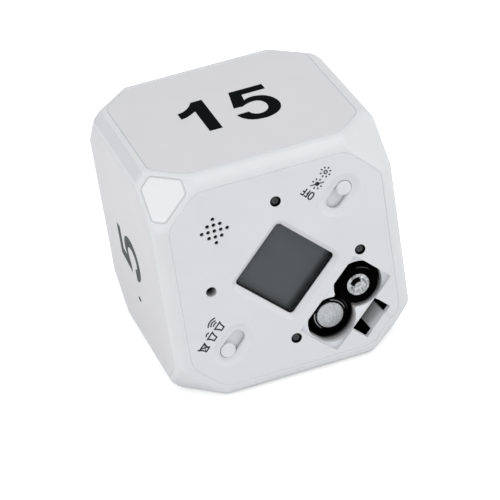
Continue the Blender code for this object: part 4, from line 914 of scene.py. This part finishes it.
def sink_bay(cover):
    """The battery bay with its wells, its latch pocket and tongue, and the nail relief."""
    through = BAY_BACK + OVER
    bay = rectangle((-BAY_HALF, -BAY_FAR), (BAY_HALF, -BAY_NEAR), BAY_ROUND)
    cut(cover, bay, pit_steps(BAY_DEPTH, FINE_RIM))
    half = POCKET_HALF - TENTH
    step = rectangle((-half, -POCKET_NEAR - BAY_ROUND), (half, -STEP_NEAR), 3 * TENTH)
    cut(cover, step, pit_steps(BAY_DEPTH, TENTH))
    cut(cover, wells_outline(), pit_steps(through, FINE_RIM, near=BAY_DEPTH))
    pocket = rectangle((-POCKET_HALF, -POCKET_FAR), (POCKET_HALF, -POCKET_NEAR), 2 * TENTH)
    cut(cover, pocket, pit_steps(through, TENTH))
    seat = moved(DIAGONAL, 0, -POCKET_FAR, -TONGUE_DEPTH, TONGUE_LEAN, "X")
    tongue = rectangle((-TONGUE_HALF, -TONGUE_THICKNESS), (TONGUE_HALF, 0), TENTH)
    join(cover, tongue, slab_steps(0, TONGUE_LONG, TONGUE_RIM, foot=2 * TENTH), seat)
    relief = rectangle((-RELIEF_HALF, -RELIEF_FAR), (RELIEF_HALF, BAY_ROUND - POCKET_FAR), 2 * TENTH)
    cut(cover, relief, pit_steps(RELIEF_DEPTH, RELIEF_RIM))


def shade_cover(cover):
    """The finishes of the cover's rim, the painted light of the bay floor, and the painted shade of the
    wells, holes and pocket.
    """
    def at_edge(across, along):
        x, y = abs(across), abs(along)
        return max(x, y) > COVER_HALF - 3 * TENTH or x + y > COVER_SUM - 4 * TENTH

    def on_floor(across, along, depth):
        return abs(depth - BAY_DEPTH) < SUNK and abs(across) < BAY_HALF and -BAY_FAR < along < -BAY_NEAR

    def in_well(across, along, depth):
        low, high = -WELL_REACH - WELL_RADIUS, BAY_WALL - TENTH - BAY_NEAR
        deep = BAY_DEPTH + FINE_RIM + SEAM < depth < BAY_BACK + TENTH
        return deep and abs(across) < BAY_HALF + 5 * TENTH and low < along < high

    def in_hole(places):
        def chosen(across, along, depth):
            near = any(math.hypot(across - x, along - y) < HEAD_BORE + TENTH / 2 for x, y in places)
            return near and SKIN < depth < HEAD_SHADE_FAR
        return chosen

    def in_speaker(across, along, depth):
        near = math.hypot(across, along - SPEAKER_REACH) < SPEAKER_SPREAD
        return near and SKIN < depth < COVER_THICKNESS + TENTH

    def in_pocket(across, along, depth):
        walls = (abs(abs(across) - POCKET_HALF), abs(along + POCKET_FAR), abs(along + POCKET_NEAR))
        deep = BAY_DEPTH - 2 * TENTH < depth < BAY_BACK + TENTH
        within = abs(across) < POCKET_HALF + TENTH and -POCKET_FAR - TENTH < along < 2 * TENTH - POCKET_NEAR
        return deep and within and min(walls) < SKIN

    shade_rim(cover, FRONT, cover_groove, at_edge)
    # Painted light: the bay floor takes a lighter white than the cover
    inlay(cover, bay_lightened_white, on_floor)
    inlay(cover, well_shade, in_well)
    inlay(cover, hole_shade, in_hole(SCREW_PLACES[:3]), FRONT)
    inlay(cover, deep_shade, in_hole(SCREW_PLACES[3:]), FRONT)
    inlay(cover, speaker_shade, in_speaker)
    inlay(cover, pocket_shade, in_pocket)


def build_cover():
    steps = slab_steps(SUNK, COVER_THICKNESS, RIM_ROUND, turn=RIM_TURN)
    cover = solid("front_cover_shell", octagon(COVER_HALF, COVER_SUM, GAP_FILL), steps, FRONT)
    back_cover(cover)
    pierce_cover(cover)
    sink_bay(cover)
    dress(cover, cover_white, 32, ("front_cover",))
    shade_cover(cover)


# Screws, lens, display and knobs. Turned profiles are lists of (radius, depth).

SCREW_HEAD = [(0, 0), (0.0006, 0.00002)] + arc((0.00095, 0.00042), 0.00035, -80, 0) + [(0.00130, 0.0012)]
SCREW_SHANK = [(0.0007, 0.0014), (0.0007, 0.0100), (0.0004, 0.0104), (0, 0.0104)]
SLIT_LONG = 0.00055
SLIT_WIDE = 0.00009
SLIT_ROUND = 0.00003
SLIT_STEPS = ((0, -0.0003), (0, 0.0001), (-0.00006, 0.0003))
SLIT_TURN = 0.35
LENS_THICKNESS = 0.0008
LENS_TURN = math.radians(55)
PANE_HALF = 0.010775
PANE_SPAN = (0.0018, 0.0023)
PANE_RIM = 0.00008
FRAME_HALF = 0.011875
FRAME_ROUND = 0.0020
FRAME_RIM = 0.00015
FRAME_SPAN = (0.0018, 0.0094)
OPENING_HALF = 0.009625
PANEL_HALF = 0.010575
PANEL_SPAN = (0.0033, 0.0051)
DISPLAY_GAP = 0.0003
DISPLAY_ROUND = 0.0004
KNOB_RADIUS = 0.00198
KNOB_SPAN = (0.00015, 0.0020)
FLANGE_HALF = (0.0067, 0.0026)
FLANGE_FAR = 0.0026
SOCKET_HALF = 0.0017
SOCKET_SPAN = (0.0022, 0.0054)
SOCKET_BORE = 0.00095
SOCKET_FLOOR = 0.0029


def build_screws():
    screw_black = screw_material()
    for name, place, depth in zip(SCREW_NAMES, SCREW_PLACES, SCREW_DEPTHS):
        here = moved(FRONT, *place, -depth)
        head = turned(f"{name}_head", SCREW_HEAD + SCREW_SHANK, here, 48)
        for turn in (0, math.pi / 2):
            spot = moved(here, 0, 0, 0, turn + SLIT_TURN)
            cut(head, box(SLIT_LONG, SLIT_WIDE, SLIT_ROUND), SLIT_STEPS, spot)
        dress(head, screw_black, 35, (name,))


def build_lens():
    steps = slab_steps(SUNK, LENS_THICKNESS, RIM_ROUND, 6, turn=LENS_TURN)
    lens = solid("corner_lens_shell", lens_outline(), steps, LENS)
    dress(lens, lens_white, 50, ("corner_lens",))
    shade_rim(lens, LENS, lens_groove_shade)


def build_display():
    pane = box(PANE_HALF, PANE_HALF, DISPLAY_ROUND)
    made = solid("display_window_pane", pane, slab_steps(*PANE_SPAN, PANE_RIM, foot=PANE_RIM))
    dress(made, pane_material(), 50, ("display_window",))

    outline = box(FRAME_HALF, FRAME_HALF, FRAME_ROUND)
    made = solid("display_frame_moulding", outline, slab_steps(*FRAME_SPAN, FRAME_RIM, foot=FRAME_RIM))
    behind = FRAME_SPAN[1] + INTO
    opening = box(OPENING_HALF, OPENING_HALF, WINDOW_ROUND)
    cut(made, opening, straight(INTO, behind))
    pane_seat = box(PANE_HALF + DISPLAY_GAP, PANE_HALF + DISPLAY_GAP, DISPLAY_ROUND)
    cut(made, pane_seat, straight(INTO, PANE_SPAN[1] + DISPLAY_GAP))
    panel_seat = box(PANEL_HALF + DISPLAY_GAP, PANEL_HALF + DISPLAY_GAP, DISPLAY_ROUND)
    cut(made, panel_seat, straight(PANEL_SPAN[0] - DISPLAY_GAP, behind))
    dress(made, frame_black, 40, ("display_frame",))

    panel = box(PANEL_HALF, PANEL_HALF, DISPLAY_GAP)
    made = solid("display_panel_glass", panel, slab_steps(*PANEL_SPAN, FINE_RIM, foot=FINE_RIM))
    dress(made, panel_material(), 50, ("display_panel",))


def build_knobs():
    for side, name, body in ((1, "light_knob", "light_slider"), (-1, "volume_knob", "volume_slider")):
        place = (side * (SLIDE_REACH + SLIDE_TRAVEL / 2), 0)
        knob = solid(f"{name}_cap", circle(KNOB_RADIUS, place, 96), slab_steps(*KNOB_SPAN, RIM_ROUND, 8))
        join(knob, box(*FLANGE_HALF, 3 * TENTH, place), slab_steps(BEHIND_COVER, FLANGE_FAR, TENTH))
        join(knob, box(SOCKET_HALF, SOCKET_HALF, 2 * TENTH, place), straight(*SOCKET_SPAN))
        cut(knob, box(SOCKET_BORE, SOCKET_BORE, TENTH, place), straight(SOCKET_FLOOR, SOCKET_SPAN[1] + INTO))
        dress(knob, knob_white, 35, (name,), body)


# Cells and their holder. A cell is drawn from its nose, and turned over where its tail is up.

CELL_SPACING = 0.01106
CELL_REACH = 0.0207
CELL_LENGTH = 0.0445
CELLS = (("right_cell", 1, True, 0.00055), ("left_cell", -1, False, 0.0041))
CAN = [
    (0, 0.00012), (0.0007, 0.00010), (0.00115, 0.00002), *arc((0.00150, 0.00040), 0.00040, -90, 0),
    (0.00195, 0.00085), (0.00215, 0.00105), (0.00260, 0.00112), (0.00285, 0.00106), (0.0030, 0.00118),
    (0.0035, 0.00135), (0.00455, 0.0016), (0.00462, 0.0030), (0.00462, 0.0420), (0.0045, 0.0434),
    *arc((0.00402, 0.04395), 0.00030, 0, 150, 8), (0.00362, 0.0438), (0.0036, 0.0436), (0, 0.0436),
]
END_CAP = [
    (0, 0.04395), (0.0034, 0.04395), (0.0036, 0.0441), (0.0036, 0.0443), (0.00352, 0.04445),
    (0.0034, CELL_LENGTH), (0, CELL_LENGTH),
]
SLEEVE = [
    (0.0031, 0.00100), (0.0045, 0.00100), *arc((0.00480, 0.00145), 0.00045, -90, 0),
    (0.00525, 0.0020), (0.00525, 0.0430), *arc((0.00480, 0.04345), 0.00045, 0, 90),
    (0.0044, 0.0439), (0.0044, 0.0436), (0.0048, 0.0436), (0.00495, 0.0430),
    (0.00495, 0.0018), (0.0048, 0.0014), (0.0045, 0.0013), (0.0031, 0.0013),
]
HOLDER_WALL = 0.0008
COLLAR_SPAN = (0.0032, 0.0094)
PIT_SPAN = (0.0022, 0.0084)
TUBE_RADIUS = 0.00685
TUBE_STEPS = ((0, 0.0088), (0, 0.0508), (-0.0002, 0.0510))
BORE_RADIUS = 0.00565
BORE_FAR = 0.0495
BORE_STEPS = ((0.0004, 0.0080), (0, 0.0088), (0, BORE_FAR))
TAIL_HOLE = 0.0011
TAIL_HOLE_SPAN = (0.0480, 0.0520)
PASSAGE_HALF = (0.0007, 0.0025)


def build_cells():
    nose_steel = nose_material()
    tail_steel = tail_material()
    cap_steel = cap_material()
    sleeve_black = sleeve_material()
    for name, side, nose_up, depth in CELLS:
        here = moved(DIAGONAL, side * CELL_SPACING / 2, -CELL_REACH, -depth)
        if not nose_up:
            here = moved(here, 0, 0, -CELL_LENGTH, math.pi, "X")
        steel = nose_steel if nose_up else tail_steel
        dress(turned(f"{name}_can_steel", CAN, here), steel, 60, (f"{name}_can",), name)
        cap = turned(f"{name}_end_cap_steel", END_CAP, here)
        dress(cap, cap_steel, 60, (f"{name}_end_cap",), name)
        sleeve = turned(f"{name}_sleeve_film", SLEEVE, here, closed=True)
        dress(sleeve, sleeve_black, 50, (f"{name}_sleeve",), name)


def build_holder():
    places = [(side * CELL_SPACING / 2, -CELL_REACH) for side in (1, -1)]
    holder = solid("battery_holder_tubes", wells_outline(HOLDER_WALL), straight(*COLLAR_SPAN))
    for place in places:
        join(holder, circle(TUBE_RADIUS, place, 96), TUBE_STEPS)
    cut(holder, wells_outline(), straight(*PIT_SPAN))
    for place in places:
        cut(holder, circle(BORE_RADIUS, place, 96), BORE_STEPS)
        cut(holder, circle(TAIL_HOLE, place, 32), straight(*TAIL_HOLE_SPAN))
    cut(holder, box(*PASSAGE_HALF, TENTH, (0, -CELL_REACH)), straight(BORE_STEPS[0][1], BORE_FAR))
    # Painted shade: the holder darkens with depth behind the control face
    dress(holder, holder_shade, 35, ("battery_holder",))


# Printing: thin plates just proud of the surface that they are printed on, drawn in millimetres

PRINT_NEAR = 0.000008
PRINT_FAR = 0.00004


def outline_area(points):
    return sum(a[0] * b[1] - b[0] * a[1] for a, b in zip(points, points[1:] + points[:1])) / 2


def drawn(points, across=0.0, up=0.0):
    """A counterclockwise outline in metres, moved across and up."""
    moved = [((x + across) / 1000, (y + up) / 1000) for x, y in points]
    return moved if outline_area(moved) > 0 else moved[::-1]


def printed(name, strokes, place, finish):
    """One print from strokes, each an outline and then the holes in it and in the strokes before it."""
    whole = None
    for outline, *holes in strokes:
        part = solid(name, outline, straight(PRINT_NEAR, PRINT_FAR), place)
        if whole is None:
            whole = part
        else:
            combine(whole, part, "UNION")
        for hole in holes:
            cut(whole, hole, straight(-INTO, INTO), place)
    whole.data.name = name
    dress(whole, finish, 30)


def smooth(points, across=0.0, steps=6):
    """A smooth line through points moved across, by Catmull-Rom."""
    points = [(x + across, y) for x, y in points]
    padded = [points[0]] + points + [points[-1]]
    line = []
    for index in range(len(points) - 1):
        p0, p1, p2, p3 = (Vector(point) for point in padded[index:index + 4])
        square_part = 2 * p0 - 5 * p1 + 4 * p2 - p3
        cubic_part = 3 * p1 - p0 - 3 * p2 + p3
        for step in range(steps):
            t = step / steps
            line.append(0.5 * (2 * p1 + (p2 - p0) * t + square_part * t ** 2 + cubic_part * t ** 3))
    return [tuple(point) for point in line + [Vector(points[-1])]]


def oval(x, y, wide, high, sides=64, power=2.2):
    """An ellipse made squarer by a power over 2."""
    points = []
    for turn in angles(sides):
        c, s = math.cos(turn), math.sin(turn)
        reach = [math.copysign(abs(part) ** (2 / power), part) for part in (c, s)]
        points.append((x + wide * reach[0], y + high * reach[1]))
    return points


def glyph_one(across):
    flag = smooth([(-12.44, 5.25), (-10.9, 5.75), (-9.3, 7.0), (-8.2, 8.6), (-7.6, 9.8)])
    under = smooth([(-8.02, 4.2), (-9.3, 3.2), (-10.8, 2.2), (-12.44, 1.75)])
    outline = [(-4.55, -8.6), (-4.55, 9.85)] + flag[::-1] + under[::-1] + [(-8.02, -8.6)]
    return [[drawn(outline, across)]]


def glyph_five(across, up=0.0):
    outer = smooth([
        (4.95, 3.15), (5.9, 3.75), (7.2, 4.0), (8.7, 3.75), (10.4, 2.75), (11.8, 0.7), (12.45, -1.9),
        (12.4, -4.4), (11.5, -6.8), (9.8, -8.6), (7.6, -9.5), (5.4, -9.45), (3.5, -8.8), (2.0, -7.4),
        (1.0, -5.6), (0.65, -4.0),
    ])
    inner = smooth([
        (3.95, -3.8), (4.35, -5.0), (5.2, -6.0), (6.4, -6.4), (7.7, -6.0), (8.8, -4.8), (9.3, -3.0),
        (9.15, -1.1), (8.4, 0.4), (7.2, 1.1), (5.9, 1.05), (4.6, 0.55), (3.5, -0.2),
    ])
    flag = [(5.3, 6.45), (11.75, 6.5), (11.75, 9.57)]
    return [[drawn([(2.67, 9.55), (1.09, 0.0)] + inner[::-1] + outer[::-1] + flag, across, up)]]


def glyph_nought(across):
    return [[drawn(oval(0, 0, 6.1, 9.6), across), drawn(oval(0, 0, 2.7, 6.5), across)]]


def glyph_six(across):
    bowl = drawn(oval(across + 0.2, -3.3, 6.0, 6.3))
    hole = drawn(oval(across + 0.2, -3.3, 2.7, 3.2))
    outer = [(5.4, 5.2), (4.2, 8.1), (0.6, 9.7), (-3.2, 8.6), (-5.4, 4.8), (-6.1, 0.0), (-5.8, -3.6)]
    inner = [(-2.7, -1.0), (-2.9, 1.6), (-2.1, 4.6), (-0.4, 6.6), (1.4, 6.5), (2.2, 4.9)]
    stem = drawn(smooth(outer, across) + smooth(inner, across))
    return [[bowl], [stem, hole]]


def glyph_three(across):
    outer = [
        (-5.9, 4.6), (-5.0, 7.9), (-2.4, 9.5), (0.8, 9.6), (3.9, 8.3), (4.9, 5.4), (4.2, 2.6), (2.4, 1.0),
        (4.7, -0.6), (5.7, -3.4), (4.9, -6.9), (2.3, -9.0), (-1.0, -9.6), (-4.2, -8.6), (-6.0, -6.0),
        (-6.3, -4.0),
    ]
    inner = [
        (-3.0, -4.0), (-2.4, -5.8), (-0.6, -6.7), (1.4, -6.1), (2.3, -4.1), (1.6, -1.9), (-0.2, -0.9),
        (-1.6, -0.8), (-1.6, 2.2), (0.0, 2.3), (1.4, 3.3), (1.7, 4.9), (0.8, 6.4), (-0.8, 6.8), (-2.3, 6.0),
        (-2.8, 4.6),
    ]
    return [[drawn(smooth(outer, across) + smooth(inner, across))]]


def build_numbers():
    printed("number_15_one", glyph_one(0), TOP, print_black)
    printed("number_15_five", glyph_five(0), TOP, print_black)
    printed("number_5", glyph_five(-9.1, 3.1), LEFT, print_worn)
    printed("number_5_dot", [[drawn(oval(-14.7, 0.4, 0.6, 1.2))]], LEFT, print_black)
    printed("number_30_three", glyph_three(-7.4), RIGHT, print_black)
    printed("number_30_nought", glyph_nought(7.0), RIGHT, print_black)
    printed("number_60_six", glyph_six(-7.2), BOTTOM, print_black)
    printed("number_60_nought", glyph_nought(7.0), BOTTOM, print_black)


# Small symbols beside the slides

def stroke(points, width, closed=False):
    """The two sides of a line of even width."""
    count = len(points)
    left, right = [], []
    for index in range(count):
        here = Vector(points[index])
        before, after = index - 1, index + 1
        if not closed:
            before, after = max(0, before), min(count - 1, after)
        back = here - Vector(points[before])
        ahead = Vector(points[after % count]) - here
        first = (back if back.length else ahead).normalized()
        second = ahead.normalized() if ahead.length else first
        sideways = Vector((-(first + second).y, (first + second).x)).normalized()
        share = width / 2 / max(0.4, sideways.dot(Vector((-second.y, second.x))))
        left.append(tuple(here + sideways * share))
        right.append(tuple(here - sideways * share))
    return left, right


def line(points, width):
    left, right = stroke(points, width)
    return [drawn(left + right[::-1])]


def loop(points, width):
    small, big = sorted(stroke(points, width, closed=True), key=lambda side: abs(outline_area(side)))
    return [drawn(big), drawn(small)]


def bow(x, y, radius, start, end, width):
    return line(arc((x, y), radius, start, end, 10), width)


def sun(x, y, dimmed=False):
    """A core with eight rays. The dimmed one has a solid core and a long stroke in place of two rays."""
    if dimmed:
        strokes = [[drawn(oval(x, y, 0.60, 0.60, 32, 2))]]
    else:
        strokes = [loop(arc((x, y), 0.43, 0, 345, 23), 0.32)]
    for index in range(8):
        if dimmed and index % 4 == 1:
            continue
        c, s = math.cos(math.radians(45 * index)), math.sin(math.radians(45 * index))
        strokes.append(line([(x + 1.00 * c, y + 1.00 * s), (x + 1.54 * c, y + 1.54 * s)], 0.36))
    if dimmed:
        strokes.append(line([(x - 1.30, y - 1.30), (x + 1.30, y + 1.30)], 0.30))
    return strokes


def horn(y):
    upper = [(7.12, y + 1.08), (6.5, y + 0.72), (5.9, y + 0.55), (5.34, y + 0.50)]
    lower = [(5.34, y - 0.64), (6.0, y - 0.72), (6.55, y - 0.86), (7.16, y - 1.16)]
    return [loop(upper + lower, 0.39)]


def off_word():
    strokes = [loop(oval(6.7, -19.7, 0.53, 0.97, 32, 2.6), 0.38)]
    for stem, top, middle in ((7.72, 0.66, 0.50), (8.74, 0.86, 0.66)):
        strokes.append(line([(stem, -20.80), (stem, -18.70)], 0.38))
        strokes.append(line([(stem, -18.88), (stem + top, -18.88)], 0.38))
        strokes.append(line([(stem, -19.80), (stem + middle, -19.80)], 0.38))
    return strokes


def build_symbols():
    waves = ((6.52, 20.95, 1.53, -28, 28), (7.45, 21.0, 1.36, -48, 50), (7.0, 20.98, 2.46, -39, 39))
    cross = [
        line([(5.25, 26.62), (6.0, 27.15), (7.05, 28.25)], 0.36),
        line([(6.95, 28.82), (7.62, 28.98)], 0.40), line([(5.35, 28.3), (7.1, 26.75)], 0.20),
    ]
    symbols = (
        ("light_off", off_word()),
        ("light_dim", sun(7.25, -23.1, dimmed=True)),
        ("light_bright", sun(7.25, -26.75)),
        ("volume_loud", horn(21.0) + [bow(*wave, 0.38) for wave in waves]),
        ("volume_low", horn(24.22) + [bow(7.22, 24.22, 0.90, -44, 46, 0.40)]),
        ("volume_mute", horn(27.72) + cross),
    )
    for name, strokes in symbols:
        printed(f"symbol_{name}", strokes, SYMBOLS, print_grey)


# Pieces that stay as the solids have them take a finish of their own

CARRIED = (
    (board_material(), "main_board"),
    (chip_black, "controller_chip", "gravity_sensor"),
    (crystal_tin, "clock_crystal"),
    (can_blue, "upper_capacitor", "lower_capacitor"),
    (screw_zinc, "right_board_screw", "top_board_screw", "bottom_board_screw", "left_board_screw"),
    (strip_grey, "upper_display_connector", "lower_display_connector"),
    (switch_steel, "light_switch_body", "volume_switch_body"),
    (lever_black, "light_switch_lever", "volume_switch_lever"),
    (basket_black, "speaker_basket"),
    (film_tan, "speaker_diaphragm"),
    (magnet_nickel, "speaker_magnet"),
    (lead_red, "red_speaker_wire", "red_battery_wire"),
    (lead_black, "black_speaker_wire", "black_battery_wire"),
    (contact_nickel, "spring_contact_plate", "flat_contact_plate", "contact_spring"),
    (contact_nickel, "left_lamp_lead", "right_lamp_lead"),
    (lamp_red, "signal_lamp"),
)


def dress_carried():
    for finish, *names in CARRIED:
        for node in (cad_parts[name] for name in names):
            if not node.material_slots:
                node.data.materials.append(finish)
            for slot in node.material_slots:
                slot.material = finish


# Stage, light and camera

FLOOR_HALF = 4
FLOOR_GLOW = 0.42
FLOOR_SHARE = 0.92
SKY_STRENGTH = 0.532
LIGHTS = (
    ("right_light", (0.7, -0.5, 0.35), 0.6, 1.53),
    ("upper_light", (0.35, -0.25, 0.9), 0.5, 2.79),
    ("left_light", (-0.9, -0.1, 0.3), 0.5, 1.86),
    ("low_light", (-0.55, -0.6, 0.03), 0.5, 1.29),
    ("back_light", (-0.35, 0.2, 0.9), 0.5, 0.70),
)

# The camera as fitted to the photograph in the cube's own frame: its turn in radians, its shift in half
# sides of the cube, and its focal length in pixels of the photograph
CAMERA_TURN = Vector((2.03333, -0.41262, 0.04786))
CAMERA_SHIFT = Vector((-0.02281, -0.2605, 22.83246))
FOCAL_PIXELS = 2787.35
PHOTO_PIXELS = 500
SENSOR = 36


def build_stage():
    """A white floor that glows a little where the camera sees it."""
    bm = bmesh.new()
    bmesh.ops.create_grid(bm, x_segments=2, y_segments=2, size=FLOOR_HALF)
    bmesh.ops.translate(bm, vec=(0, 0, -SUNK), verts=bm.verts[:])
    floor = new_object("floor", bm)
    finish = bpy.data.materials.new("floor_white")
    finish.use_nodes = True
    tree = finish.node_tree
    shader = tree.nodes["Principled BSDF"]
    feed(tree, shader, {"Base Color": grey(FLOOR_SHARE), "Roughness": 0.9})
    path = add_node(tree, "LightPath").outputs
    rays = {0: path["Is Camera Ray"], 1: path["Is Transmission Ray"]}
    seen = add_node(tree, "Math", rays, operation="MAXIMUM").outputs[0]
    strength = add_node(tree, "Math", {0: seen, 1: FLOOR_GLOW}, operation="MULTIPLY").outputs[0]
    glow = add_node(tree, "Emission", {"Color": grey(1), "Strength": strength}).outputs[0]
    added = add_node(tree, "AddShader", {0: shader.outputs[0], 1: glow}).outputs[0]
    feed(tree, tree.nodes["Material Output"], {"Surface": added})
    floor.data.materials.append(finish)


def build_world():
    """An even white surround, full white where the camera sees it."""
    world = bpy.data.worlds.new("studio")
    bpy.context.scene.world = world
    world.use_nodes = True
    tree = world.node_tree
    seen = add_node(tree, "LightPath").outputs["Is Camera Ray"]
    strength = add_node(tree, "MapRange", {"Value": seen, "To Min": SKY_STRENGTH, "To Max": 1.0})
    feed(tree, tree.nodes["Background"], {"Color": grey(1), "Strength": strength.outputs["Result"]})


def build_lights():
    for name, place, size, power in LIGHTS:
        data = bpy.data.lights.new(name, "AREA")
        data.shape = "DISK"
        data.size = size
        data.energy = power
        made = bpy.data.objects.new(name, data)
        bpy.context.scene.collection.objects.link(made)
        made.location = place
        made.rotation_mode = "QUATERNION"
        made.rotation_quaternion = (MIDDLE - Vector(place)).to_track_quat("-Z", "Y")


def build_camera():
    rotation = Quaternion(CAMERA_TURN.normalized(), CAMERA_TURN.length).to_matrix()
    place = -(rotation.transposed() @ CAMERA_SHIFT) * HALF
    data = bpy.data.cameras.new("photo_camera")
    data.sensor_width = SENSOR
    data.lens = SENSOR * FOCAL_PIXELS / PHOTO_PIXELS
    data.clip_start, data.clip_end = 0.01, 20
    camera = bpy.data.objects.new("photo_camera", data)
    bpy.context.scene.collection.objects.link(camera)
    looking = rotation.transposed() @ Matrix.Diagonal((1, -1, -1))
    camera.matrix_world = Matrix.Translation(place + MIDDLE) @ looking.to_4x4()
    bpy.context.scene.camera = camera


build_camera()
build_housing()
build_plates()
build_cover()
build_screws()
build_lens()
build_display()
build_knobs()
build_holder()
build_cells()
build_numbers()
build_symbols()
dress_carried()
build_stage()
build_world()
build_lights()
bpy.context.scene.view_settings.view_transform = "Standard"

bpy.context.view_layer.update()
